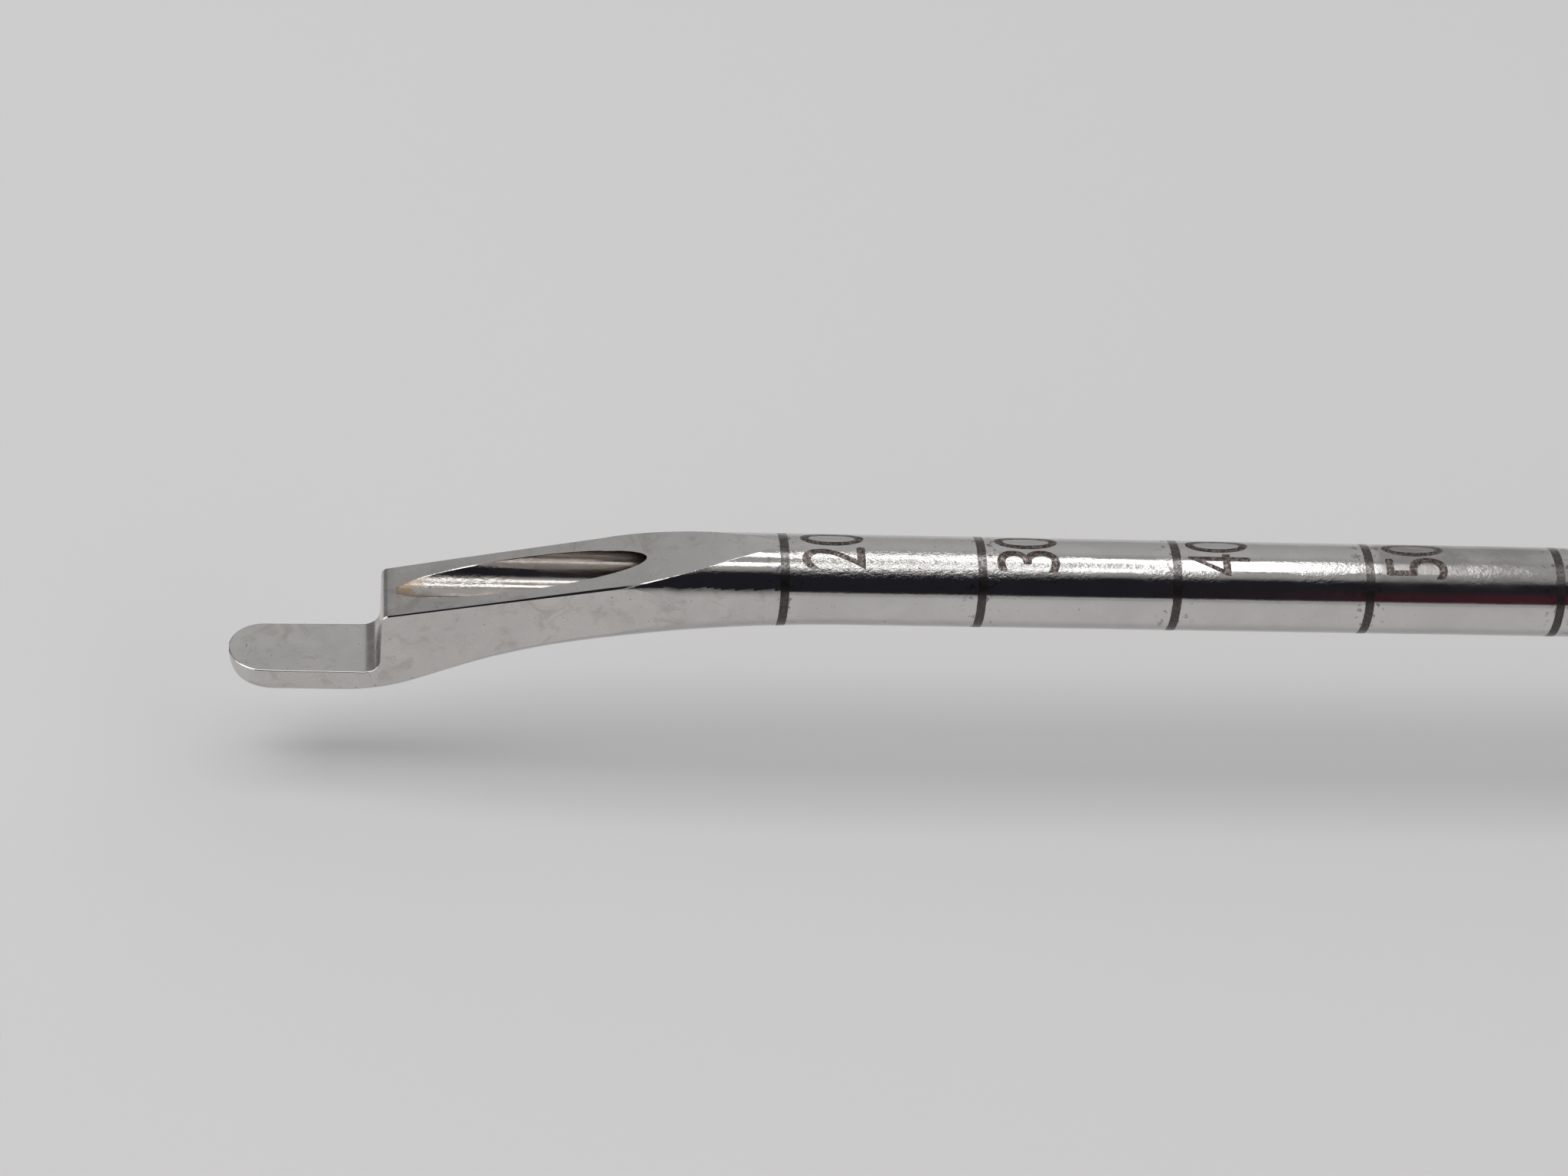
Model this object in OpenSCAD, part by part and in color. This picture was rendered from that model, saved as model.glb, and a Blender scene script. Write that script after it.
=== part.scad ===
// Offset drill guide: a cannulated steel guide shaft with a hooked tip, held in a
// quick-release handle that also clamps the guide pin. Sizes are in millimetres.
// Lengths run along +X from the step face of the tip; heights from the bore axis.

/* [Guide pin] */
// Diameter of the guide pin that the bore takes
pin_d = 2.4; // [2:0.1:2.6]
// Radial running clearance of the pin in the guide bore
pin_clear = 0.05; // [0.03:0.01:0.09]
// Extra radius of the channel through the handle, over the guide bore
channel_clear = 0.15; // [0.1:0.05:0.3]

/* [Shaft] */
// Outside diameter of the shaft
shaft_d = 4.6; // [4.4:0.1:4.8]
// Length from the step face to the hub
shaft_reach = 150; // [110:5:200]

/* [Tip] */
// Drop from the bore axis to the top of the tongue
tongue_offset = 5.1; // [5:0.1:8]
// Length of the tongue ahead of the step face
tongue_len = 7.6; // [6.5:0.1:10]
// Width of the tongue at its end
tongue_w = 3.6; // [3.2:0.1:3.9]
// Thickness of the tongue at its centre
tongue_t = 2.05; // [1.9:0.05:2.6]
// Distance ahead of the step face at which the underside becomes level
belly_lead = 1.9; // [1:0.1:2.5]
// Radius of the underside below the step
belly_r = 9.3; // [8:0.1:11]
// Steepest angle of the underside
ramp_angle = 23.5; // [21:0.5:26]
// Radius of the underside behind the ramp
knee_r = 28; // [24:1:32]
// Angle at which the knee meets the long sweep
sweep_angle = 11.75; // [10:0.25:13]
// Radius of the long sweep into the shaft
sweep_r = 70; // [55:1:80]
// Slope of the facet that the bore breaks through
facet_angle = 11.4; // [10:0.1:14]
// Steel left between the bore and the edge of the step
lip_land = 0.15; // [0.05:0.05:0.4]
// Radius with which the facet fades into the top of the shaft
fade_r = 25; // [15:1:40]
// How far above the shaft the fade would level out
fade_rise = 0.03; // [0.02:0.01:0.06]
// Width across the ground side flats where they start
flat_w = 4.1; // [3.9:0.05:4.3]
// Length of the side flats behind the step face
flat_len = 12; // [9:0.5:14]
// Radius of the run-out of the side flats
flat_run_r = 30; // [15:1:50]
// Fillet between the tongue and the step face
step_fillet = 0.55; // [0.3:0.05:0.8]
// Rounding of the top edge of the step
step_round = 0.4; // [0.2:0.05:0.6]

/* [Hub] */
// Diameter of the hub's nose at its front
hub_nose_d = 6; // [5.6:0.2:7]
// Length of the hub's conical nose
hub_nose_len = 6; // [4:0.5:10]
// Thickness of the flange that seats on the handle
hub_flange_t = 3; // [2:0.5:5]
// Diameter of the spigot inside the handle
spigot_d = 8; // [7.6:0.1:8.2]
// Length of the spigot inside the handle
spigot_len = 24; // [22:0.5:30]
// Radial gap filled by braze between shaft and hub
braze_gap = 0.03; // [0.02:0.01:0.05]
// Radial clearance of the spigot in its socket
spigot_clear = 0.03; // [0.02:0.01:0.06]
// Free length behind the spigot in its socket
socket_gap = 0.5; // [0.3:0.1:2]
// Diameter of the key pin in the spigot
key_d = 1.5; // [1.2:0.1:1.8]
// Distance of the key pin from the front of the handle
key_pos = 15; // [13:0.5:16]
// Height of the key pin above the spigot
key_h = 0.9; // [0.6:0.1:1.2]
// Thickness of the O-ring cords
ring_cord_d = 0.86; // [0.7:0.02:0.9]
// Distance of the hub's O-ring from the end of the spigot
hub_ring_inset = 3; // [2:0.5:4]
// Extra width of the O-ring grooves
ring_slack = 0.3; // [0.2:0.1:0.5]
// Wall left between the key pin and the shaft
key_floor = 0.2; // [0.1:0.1:0.4]
// Edge chamfer of the hub's flange
hub_lip = 0.5; // [0.2:0.1:1]
// Gap of a pressed pin or bush in its hole
press_gap = 0.01; // [0.005:0.005:0.02]

/* [Lock] */
// Diameter of the front barrel of the handle
barrel_d = 12.4; // [12.2:0.1:12.6]
// Diameter of the lock balls
ball_d = 3; // [2.9:0.05:3.1]
// Distance of the balls from the front of the handle
ball_pos = 7; // [6:0.5:8]
// How far the balls reach into the groove of the spigot
ball_bite = 0.5; // [0.4:0.05:0.55]
// How far the balls lift when the collar is drawn back
ball_lift = 0.6; // [0.55:0.05:0.7]
// Gap between a ball and what guides it
ball_clear = 0.05; // [0.03:0.01:0.07]
// Width of the lip that keeps a ball from falling inwards
ball_lip = 0.1; // [0.05:0.05:0.15]
// Travel of the collar
collar_travel = 4; // [3.5:0.5:5]
// Outside diameter of the collar
collar_d = 19; // [18.5:0.5:22]
// Radial clearance of the collar on the barrel
collar_clear = 0.05; // [0.03:0.01:0.08]
// Length of the collar's guiding land
land_len = 2; // [1.5:0.5:3]
// Width across the key flats under the collar
key_flat_w = 11.4; // [11.2:0.1:11.6]
// Length of the collar's skirt over the neck
skirt_lap = 2; // [1:0.5:4]
// Gap left behind the collar when it is drawn back
collar_gap = 0.5; // [0.3:0.1:2]
// Diameter of the neck behind the barrel
neck_d = 16.2; // [15.8:0.1:16.6]
// Radial clearance of the skirt over the neck
skirt_clear = 0.1; // [0.05:0.01:0.2]
// Number of finger grooves round the collar
collar_grooves = 5; // [3:1:6]
// Depth of the finger grooves
groove_depth = 0.6; // [0.3:0.1:0.7]
// Distance of the retaining ring from the front of the handle
ring_pos = 1.3; // [1:0.1:2]
// Thickness of the retaining ring
ring_t = 0.95; // [0.8:0.05:1.2]
// Outside diameter of the retaining ring
ring_d = 15.8; // [15.4:0.1:16.4]
// Depth of the ring's groove in the barrel
ring_groove = 0.6; // [0.4:0.05:0.7]
// Free gap between the ends of the retaining ring
ring_split = 3; // [2:0.5:5]
// Length of the collar spring with the collar forward
spring_len = 10; // [9:0.5:14]
// Wire diameter of the collar spring
spring_wire = 0.8; // [0.6:0.05:0.9]
// Number of coils of the collar spring
spring_coils = 5; // [4:1:6]
// Axial gap at a seat where two pieces only rest on each other
seat_clear = 0.05; // [0.03:0.01:0.1]
// Broken edge of the key flats and the clamp pad
edge_break = 0.2; // [0.1:0.05:0.3]

/* [Grip] */
// Length of the grip scales
grip_len = 72; // [60:2:100]
// Width of the handle over both scales
grip_w = 20; // [18:0.5:24]
// Height of the handle over the scales
grip_h = 24; // [24:0.5:28]
// Thickness of the steel tang between the scales
tang_t = 8; // [6:0.5:9]
// How far the tang stays below the edge of the scales
tang_inset = 0.5; // [0.2:0.1:1]
// Rounding of the long edges of the scales
grip_round = 4; // [3:0.5:5]
// Rounding of the end corners of the scales
grip_corner = 3; // [2:0.5:5]
// Number of flutes in each scale
flute_count = 9; // [6:1:11]
// Depth of the flutes
flute_depth = 0.9; // [0.4:0.1:1.2]
// Radius of the flutes
flute_r = 3.4; // [2.6:0.2:5]
// Length at each end of the scales without flutes
flute_margin = 13; // [12:0.5:16]
// Thread diameter of the scale screws
screw_d = 3; // [2.5:0.5:3]
// Diameter of the screw and nut heads
screw_head_d = 5.6; // [5.4:0.2:6.4]
// Height of the screw and nut heads
screw_head_t = 1.8; // [1.4:0.1:2.4]
// Depth of the heads below the face of the scales
screw_sink = 0.3; // [0.1:0.1:0.6]
// Outside diameter of the sleeve nuts
sleeve_d = 4.4; // [4:0.1:4.8]
// Radial clearance of the screws and sleeve nuts in their holes
screw_clear = 0.05; // [0.03:0.01:0.1]
// Distance of the screws from the ends of the scales
screw_inset = 7; // [6:0.5:8]
// Height of the screws above and below the bore axis
screw_z = 6.5; // [6:0.5:7]
// Width across the flats of the sockets in the heads
socket_w = 2; // [1.5:0.1:2.4]
// Depth of the sockets in the heads
socket_depth = 1.1; // [0.8:0.1:1.2]

/* [Handle ends] */
// Length of the bolster in front of the scales
bolster_len = 4; // [3:0.5:8]
// Diameter of the bolster
bolster_d = 23; // [22:0.5:23.5]
// Chamfer of the bolster and the rear boss
end_chamfer = 1; // [0.5:0.1:1.5]
// Length of the rear boss
boss_len = 18; // [17.5:0.5:24]
// Diameter of the rear boss
boss_d = 22; // [21:0.5:23]
// Diameter of the end cap
cap_d = 19; // [17:0.5:20]
// Thickness of the end cap's head
cap_t = 7; // [5:0.5:10]
// Rounding chamfer at the back of the end cap
cap_chamfer = 2; // [1:0.5:2.5]
// Width across the spanner flats of the end cap
cap_flat_w = 17; // [16:0.5:18]
// Thread diameter of the end cap
cap_thread_d = 12; // [11:0.5:13]
// Length of the end cap's thread
cap_thread_len = 5.5; // [5:0.5:6]
// Distance of the end cap's O-ring groove from the cap's seat
cap_ring_inset = 0.4; // [0.3:0.1:0.8]
// Radial clearance of the threads that are modelled plain
thread_clear = 0.05; // [0.03:0.01:0.1]
// Outside diameter of the pin bush
bush_d = 6; // [5.6:0.1:7]
// Diameter of the pin bush's flange
bush_flange_d = 9; // [8:0.5:11]
// Thickness of the pin bush's flange
bush_flange_t = 1.5; // [1:0.1:2.5]
// How far the pin bush reaches in from the cap's seat
bush_reach = 4.5; // [3:0.5:5]
// Mouth diameter of the pin bush's funnel
funnel_d = 6.4; // [5:0.2:7]
// Length of the pin bush's funnel
funnel_len = 3; // [2:0.5:4]

/* [Pin clamp] */
// Distance of the clamp screw from the front of the rear boss
clamp_pos = 7; // [6.5:0.5:7.5]
// Height of the seat for the clamp's threaded bush
seat_h = 9.5; // [9:0.5:10]
// Thread diameter of the clamp screw
clamp_d = 4; // [3.8:0.1:4.2]
// Thread pitch of the clamp screw
clamp_pitch = 0.7; // [0.5:0.1:0.8]
// Turns of the knob from open to gripping
clamp_turns = 2; // [1:0.5:2]
// Outside diameter of the threaded bush
nut_bush_d = 8; // [7.6:0.2:8.4]
// Depth of the threaded bush below its seat
nut_bush_len = 5; // [4:0.5:5.5]
// Flange diameter of the threaded bush
nut_flange_d = 11; // [10:0.5:12]
// Flange thickness of the threaded bush
nut_flange_t = 1.5; // [1:0.1:2.5]
// Diameter of the clamp pad
pad_d = 3.8; // [3.6:0.1:3.9]
// Length of the clamp pad
pad_len = 4; // [3.5:0.1:4.5]
// Radial clearance of the pad in its guide
pad_clear = 0.05; // [0.03:0.01:0.08]
// Diameter of the screw's pivot in the pad
pivot_d = 2.2; // [1.8:0.1:2.4]
// Length of the screw's pivot in the pad
pivot_len = 2; // [1.5:0.1:2.5]
// Gap under the knob when the clamp is closed
knob_gap = 0.6; // [0.4:0.1:1.5]
// Diameter of the knob
knob_d = 15; // [14:0.5:18]
// Height of the knob's lobed head
knob_h = 6; // [5:0.5:8]
// Diameter of the knob's stem
stem_d = 10; // [9:0.5:11]
// Height of the knob's stem
stem_h = 4; // [3.5:0.5:6]
// Number of finger scallops round the knob
scallops = 8; // [5:1:10]
// Radius of the finger scallops
scallop_r = 2.2; // [1.6:0.2:2.6]
// Depth of the finger scallops
scallop_depth = 1; // [0.6:0.1:1.4]
// Diameter of the knob's cross pin
cross_pin_d = 1.5; // [1.2:0.1:1.8]

/* [Hidden] */

$fn = 64;
// Facets of the large arcs of the tip
arc_fn = 720;
// Steps along each arc of the underside, and round the blank of the tip
arc_steps = 6;
ring_steps = 32;
// Overlap of a cutter past the face that it cuts
cut = 1;

// Radii
shaft_r = shaft_d / 2;
bore_r = pin_d / 2 + pin_clear;
channel_r = bore_r + channel_clear;
spigot_r = spigot_d / 2;
barrel_r = barrel_d / 2;
ball_r = ball_d / 2;
collar_r = collar_d / 2;
neck_r = neck_d / 2;
cord_r = ring_cord_d / 2;

// Tip: heights of the tongue, the underside and the facet
tongue_z = -tongue_offset;
under_z = tongue_z - tongue_t;
step_z = -(bore_r + lip_land);
// Straight ramp that is left between the belly and the knee
ramp_len = (-under_z - shaft_r
    - sweep_r * (1 - cos(sweep_angle))
    - knee_r * (cos(sweep_angle) - cos(ramp_angle))
    - belly_r * (1 - cos(ramp_angle))) / sin(ramp_angle);
ramp_x = -belly_lead + belly_r * sin(ramp_angle);
knee_x = ramp_x + ramp_len * cos(ramp_angle);
knee_z = under_z + belly_r * (1 - cos(ramp_angle)) + ramp_len * sin(ramp_angle);
sweep_x = knee_x + knee_r * (sin(ramp_angle) - sin(sweep_angle));
heel_x = sweep_x + sweep_r * sin(sweep_angle);
// Centres of the arcs of the underside
belly_c = [-belly_lead, under_z + belly_r];
knee_c = [knee_x + knee_r * sin(ramp_angle), knee_z - knee_r * cos(ramp_angle)];
sweep_c = [heel_x, -shaft_r - sweep_r];
// Facet: where it would meet its levelled end, and the length of its fade
fade_z = shaft_r + fade_rise;
facet_x = (fade_z - step_z) / tan(facet_angle);
fade_len = fade_r * tan(facet_angle / 2);

// Stations along the handle
core_x = shaft_reach + hub_nose_len + hub_flange_t;
spigot_end = core_x + spigot_len;
socket_end = spigot_end + socket_gap;
ball_x = core_x + ball_pos;
ring_x = core_x + ring_pos;
collar_x = ring_x + ring_t + 2 * seat_clear;
// Hub: inner end of the key's hole, and the O-ring's groove
key_inner = shaft_r + braze_gap + key_floor;
ring_seat_w = ring_cord_d + ring_slack;
hub_seat_r = spigot_r - ring_cord_d - spigot_clear;
hub_ring_x = spigot_end - hub_ring_inset;
// Groove for the balls: half-lengths of its floor and of its mouth, in ball radii
groove_floor = 0.4;
groove_mouth = 0.93;
// Depth below a ball's centre of the lip that carries it
ball_step = sqrt(ball_r * ball_r - (ball_r - ball_lip) * (ball_r - ball_lip)) + ball_clear;
// Ramp inside the collar: the balls ride up it as the collar is drawn back
ramp_slope = ball_lift / collar_travel;
ball_seat_r = spigot_r - ball_bite + ball_r;
cone_r = ball_seat_r + (ball_r + ball_clear) / cos(atan(ramp_slope));
land_r = barrel_r + collar_clear;
land_x = ball_x + (cone_r - land_r) / ramp_slope;
pocket_x = land_x + land_len;
pocket_r = neck_r + skirt_clear;
neck_x = pocket_x + spring_len;
collar_end = neck_x + skirt_lap;
bolster_x = collar_end + collar_travel + collar_gap;
tang_x = bolster_x + bolster_len;
boss_x = tang_x + grip_len;
boss_end = boss_x + boss_len;
cap_end = boss_end + cap_t;
tail_x = cap_end + bush_flange_t;

// Clamp, by height above the bore axis
clamp_x = boss_x + clamp_pos;
clamp_travel = clamp_pitch * clamp_turns;
// A pin pressed onto the floor of the channel has its top at this height
grip_z = pin_d - channel_r;
pad_z = grip_z + clamp_travel;
pad_floor = grip_z - 2 * seat_clear;
pivot_z = pad_z + pad_len - pivot_len;
flange_z = seat_h + nut_flange_t;
knob_z = flange_z + clamp_travel + knob_gap;
cross_pin_z = knob_z + stem_h / 2;
knob_top = knob_z + stem_h + knob_h;

// Row frame: the middle of the part's length, on the surface that it lies on
mid_x = (tail_x - tongue_len) / 2;
axis_h = grip_h / 2;

// ---------- shared shapes ----------

module placed() translate([-mid_x, 0, axis_h]) children();

// A round bar along X
module rod(x0, x1, r) translate([x0, 0, 0]) rotate([0, 90, 0]) cylinder(h = x1 - x0, r = r);

// A turned shape about the bore axis, from points of [radius, x]
module turned(points) rotate([0, 90, 0]) rotate_extrude() polygon(points);

// A flat shape of [x, z] points, drawn through the width of the part
module through(width) translate([0, width / 2, 0]) rotate([90, 0, 0])
    linear_extrude(width) children();

// A vertical hole or post at a station
module post(x, z0, z1, r) translate([x, 0, z0]) cylinder(h = z1 - z0, r = r);

// Copies its child to the three ball positions round the bore axis
function ball_turn(i) = 120 * i;

module at_ball(i) translate([ball_x, 0, 0]) rotate([ball_turn(i), 0, 0]) children();

// An O-ring round the bore axis
module o_ring(x, r) translate([x, 0, 0]) rotate([0, 90, 0])
    rotate_extrude() translate([r, 0]) circle(cord_r);

// ---------- guide shaft ----------

// Points [x, z] along an arc of the underside between two angles, from a first step on
function arc_under(centre, r, from, to, first) = [for (i = [first : arc_steps])
    let (a = from + (to - from) * i / arc_steps) centre + r * [-sin(a), cos(a)]];

// The underside in side view, from the end of the tongue to the heel
under_points = concat(
    arc_under([-tongue_len + shaft_r, under_z + shaft_r], shaft_r, 90, 180, 0),
    arc_under(belly_c, belly_r, 180, 180 + ramp_angle, 1),
    arc_under(knee_c, knee_r, ramp_angle, sweep_angle, 0),
    arc_under(sweep_c, sweep_r, sweep_angle, 0, 1));

// Section of the blank at a point of the underside: round above the bore axis and round below
function blank_ring(p) = [for (j = [0 : ring_steps - 1])
    let (a = 360 * j / ring_steps, centre_z = a <= 180 ? 0 : p[1] + shaft_r)
    [p[0], shaft_r * cos(a), centre_z + shaft_r * sin(a)]];

// Forged blank of the tip, before its facets, flats and bore are cut
module tip_blank() {
    n = len(under_points);
    walls = [for (i = [0 : n - 2], j = [0 : ring_steps - 1])
        let (k = i * ring_steps, m = (j + 1) % ring_steps)
        each [
            [k + j, k + ring_steps + m, k + m],
            [k + j, k + ring_steps + j, k + ring_steps + m],
        ]];
    ends = [
        [for (j = [0 : ring_steps - 1]) j],
        [for (j = [ring_steps - 1 : -1 : 0]) (n - 1) * ring_steps + j],
    ];
    polyhedron([for (p = under_points) each blank_ring(p)], concat(walls, ends), convexity = 6);
}

// Outline of the shaft seen from above: round tongue, ground side flats and their run-out
module plan_outline() {
    end_x = -tongue_len + tongue_w / 2;
    wide = shaft_r + cut;
    difference() {
        union() {
            translate([end_x, 0]) circle(tongue_w / 2);
            polygon([
                [end_x, -tongue_w / 2], [flat_len, -flat_w / 2],
                [flat_len, flat_w / 2], [end_x, tongue_w / 2],
            ]);
            translate([flat_len, -wide]) square([spigot_end + cut - flat_len, 2 * wide]);
        }
        for (side = [-1, 1]) translate([flat_len, side * (flat_w / 2 + flat_run_r)])
            circle(flat_run_r, $fn = arc_fn);
    }
}

// Side view of what is cut away above the tongue and the facet
module top_cut_outline() {
    rise = tan(facet_angle);
    top_z = fade_z + cut;
    round_z = step_z + step_round * (rise - 1 / cos(facet_angle));
    round_end = [step_round * (1 - sin(facet_angle)), round_z + step_round * cos(facet_angle)];
    fade_start = [facet_x - fade_len * cos(facet_angle), fade_z - fade_len * sin(facet_angle)];
    fade_c = [facet_x + fade_len, fade_z - fade_r];
    difference() {
        translate([-tongue_len - cut, tongue_z]) square([tongue_len + cut, top_z - tongue_z]);
        difference() {
            translate([-step_fillet, tongue_z]) square([step_fillet, step_fillet]);
            translate([-step_fillet, tongue_z + step_fillet]) circle(step_fillet);
        }
    }
    polygon([
        [-cut, step_z - cut * rise], [facet_x, fade_z], [facet_x, top_z], [-cut, top_z],
    ]);
    difference() {
        polygon([
            [-cut, round_z], [step_round, round_z], round_end,
            [round_end[0], top_z], [-cut, top_z],
        ]);
        translate([step_round, round_z]) circle(step_round);
    }
    difference() {
        polygon([
            fade_start, fade_c, [fade_c[0], fade_z], [fade_c[0], top_z], [fade_start[0], top_z],
        ]);
        translate(fade_c) circle(fade_r, $fn = arc_fn);
    }
}

module guide_shaft() placed() color("silver") difference() {
    intersection() {
        union() {
            tip_blank();
            rod(heel_x, spigot_end, shaft_r);
        }
        translate([0, 0, -grip_h / 2]) linear_extrude(grip_h) plan_outline();
    }
    through(2 * shaft_d) top_cut_outline();
    rod(-cut, spigot_end + cut, bore_r);
}

// ---------- hub ----------

module shaft_hub() placed() color("gainsboro") difference() {
    nose_end = shaft_reach + hub_nose_len;
    groove = ball_bite + ball_clear;
    turned([
        [0, shaft_reach], [hub_nose_d / 2, shaft_reach],
        [barrel_r - hub_lip, nose_end], [barrel_r, nose_end + hub_lip], [barrel_r, core_x],
        [spigot_r, core_x],
        [spigot_r, ball_x - ball_r * groove_mouth],
        [spigot_r - groove, ball_x - ball_r * groove_floor],
        [spigot_r - groove, ball_x + ball_r * groove_floor],
        [spigot_r, ball_x + ball_r * groove_mouth],
        [spigot_r, hub_ring_x - ring_seat_w / 2], [hub_seat_r, hub_ring_x - ring_seat_w / 2],
        [hub_seat_r, hub_ring_x + ring_seat_w / 2], [spigot_r, hub_ring_x + ring_seat_w / 2],
        [spigot_r, spigot_end], [0, spigot_end],
    ]);
    rod(shaft_reach - cut, spigot_end + cut, shaft_r + braze_gap);
    post(core_x + key_pos, -spigot_r - cut, -key_inner, key_d / 2);
}

module hub_key() placed() color("dimgray")
    post(core_x + key_pos, -spigot_r - key_h, -key_inner - press_gap, key_d / 2 - press_gap);

module hub_o_ring() placed() color("black") o_ring(hub_ring_x, spigot_r - cord_r);

// ---------- handle core ----------

module ball_holes() for (i = [0 : 2]) at_ball(i) {
    post(0, ball_seat_r - ball_step, barrel_r + cut, ball_r + ball_clear);
    post(0, spigot_r - cut, barrel_r, ball_r - ball_lip);
}

// The bolster and the boss are round above and below, and flat at the sides
module block(x0, x1, d, chamfer) intersection() {
    turned([
        [0, x0], [d / 2 - chamfer, x0], [d / 2, x0 + chamfer],
        [d / 2, x1 - chamfer], [d / 2 - chamfer, x1], [0, x1],
    ]);
    translate([x0 - cut, -grip_w / 2, -d]) cube([x1 - x0 + 2 * cut, grip_w, 2 * d]);
}

module handle_core() placed() color("lightgray") difference() {
    tang_h = grip_h - 2 * tang_inset;
    keyway_w = key_d + 2 * seat_clear;
    flat_x = land_x - edge_break;
    union() {
        rod(core_x, neck_x + cut, barrel_r);
        rod(neck_x, bolster_x + cut, neck_r);
        block(bolster_x, tang_x, bolster_d, end_chamfer);
        translate([tang_x - end_chamfer, -tang_t / 2, -tang_h / 2])
            cube([grip_len + 2 * end_chamfer, tang_t, tang_h]);
        block(boss_x, boss_end, boss_d, end_chamfer);
    }
    // Bore: socket for the hub, channel for the pin, thread for the cap
    rod(core_x - cut, socket_end, spigot_r + spigot_clear);
    rod(socket_end - cut, boss_end, channel_r);
    rod(boss_end - cap_thread_len - socket_gap, boss_end + cut, cap_thread_d / 2 + thread_clear);
    ball_holes();
    // Keyway for the hub's key, open at the front
    translate([core_x - cut, -keyway_w / 2, -spigot_r - key_h - seat_clear])
        cube([cut + key_pos + keyway_w / 2, keyway_w, key_h + spigot_r - key_inner]);
    // Flats that keep the collar from turning
    for (side = [-1, 1]) translate([flat_x, side * (key_flat_w + barrel_r) / 2, 0])
        translate([0, -barrel_r / 2, -barrel_r]) cube([neck_x - flat_x, barrel_r, barrel_d]);
    // Groove of the retaining ring
    difference() {
        rod(ring_x, ring_x + ring_t + 2 * seat_clear, barrel_r + cut);
        rod(ring_x - cut, ring_x + ring_t + cut, barrel_r - ring_groove);
    }
    // Seat, thread and guide of the clamp
    post(clamp_x, seat_h, boss_d, nut_flange_d / 2 + end_chamfer / 2);
    post(clamp_x, seat_h - nut_bush_len, seat_h + cut, nut_bush_d / 2);
    post(clamp_x, pad_floor, seat_h, pad_d / 2 + pad_clear);
    screw_holes(sleeve_d / 2 + screw_clear);
}

// ---------- grips ----------

// A hole or bar across the handle, from one height of Y to another
module across(x, z, y0, y1, r) translate([x, y0, z]) rotate([-90, 0, 0])
    cylinder(h = y1 - y0, r = r);

// Copies its child to the four screw stations
module at_screws() for (x = [tang_x + screw_inset, boss_x - screw_inset], z = [-screw_z, screw_z])
    translate([x, 0, z]) children();

module screw_holes(r) at_screws() across(0, 0, -grip_w, grip_w, r);

// Section of a scale on the +Y side, and its outline from the side
module scale_section() intersection() {
    inner = tang_t / 2;
    mid_y = grip_w / 2 - grip_round;
    mid_z = grip_h / 2 - grip_round;
    translate([inner, -grip_h / 2]) square([grip_w / 2 - inner, grip_h]);
    union() {
        translate([0, -grip_h / 2]) square([mid_y, grip_h]);
        translate([0, -mid_z]) square([grip_w / 2, 2 * mid_z]);
        for (z = [-mid_z, mid_z]) translate([mid_y, z]) circle(grip_round);
    }
}

module scale_outline() {
    half = grip_h / 2;
    translate([tang_x + grip_corner, -half]) square([grip_len - 2 * grip_corner, grip_h]);
    translate([tang_x, -half + grip_corner]) square([grip_len, grip_h - 2 * grip_corner]);
    for (x = [tang_x + grip_corner, boss_x - grip_corner], side = [-1, 1])
        translate([x, side * (half - grip_corner)]) circle(grip_corner);
}

// A scale on the +Y side, with its flutes and its screw holes of a given radius
module scale(hole_r) difference() {
    pitch = (grip_len - 2 * flute_margin) / (flute_count - 1);
    flute_y = grip_w / 2 + flute_r - flute_depth;
    head_y = grip_w / 2 - screw_sink - screw_head_t;
    intersection() {
        translate([tang_x, 0, 0]) rotate([90, 0, 90]) linear_extrude(grip_len) scale_section();
        through(2 * grip_w) scale_outline();
    }
    for (i = [0 : flute_count - 1])
        translate([tang_x + flute_margin + i * pitch, flute_y, -grip_h / 2 - cut])
            cylinder(h = grip_h + 2 * cut, r = flute_r);
    at_screws() {
        across(0, 0, 0, grip_w, hole_r);
        across(0, 0, head_y, grip_w, screw_head_d / 2 + screw_clear);
    }
}

module grip_left() placed() color("dimgray") mirror([0, 1, 0]) scale(screw_d / 2 + screw_clear);

module grip_right() placed() color("dimgray") scale(sleeve_d / 2 + screw_clear);

// Head of a screw or a sleeve nut on the +Y side, with its hexagon socket
module socket_head() {
    face_y = grip_w / 2 - screw_sink;
    difference() {
        across(0, 0, face_y - screw_head_t, face_y, screw_head_d / 2);
        translate([0, face_y - socket_depth, 0]) rotate([-90, 0, 0])
            cylinder(h = socket_depth + cut, d = socket_w / cos(30), $fn = 6);
    }
}

module grip_screws() placed() color("silver") at_screws() mirror([0, 1, 0]) {
    seat_y = grip_w / 2 - screw_sink - screw_head_t;
    socket_head();
    across(0, 0, -seat_y + 2 * seat_clear, seat_y + seat_clear, screw_d / 2);
}

module grip_sleeve_nuts() placed() color("silver") at_screws() difference() {
    seat_y = grip_w / 2 - screw_sink - screw_head_t;
    union() {
        socket_head();
        across(0, 0, -tang_t / 2 + seat_clear, seat_y + seat_clear, sleeve_d / 2);
    }
    across(0, 0, -tang_t, seat_y, screw_d / 2 + screw_clear);
}

// ---------- collar and lock ----------

// Inner radius of the collar's ramp at a station
function ramp_r(x) = cone_r + (ball_x - x) * ramp_slope;

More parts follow.
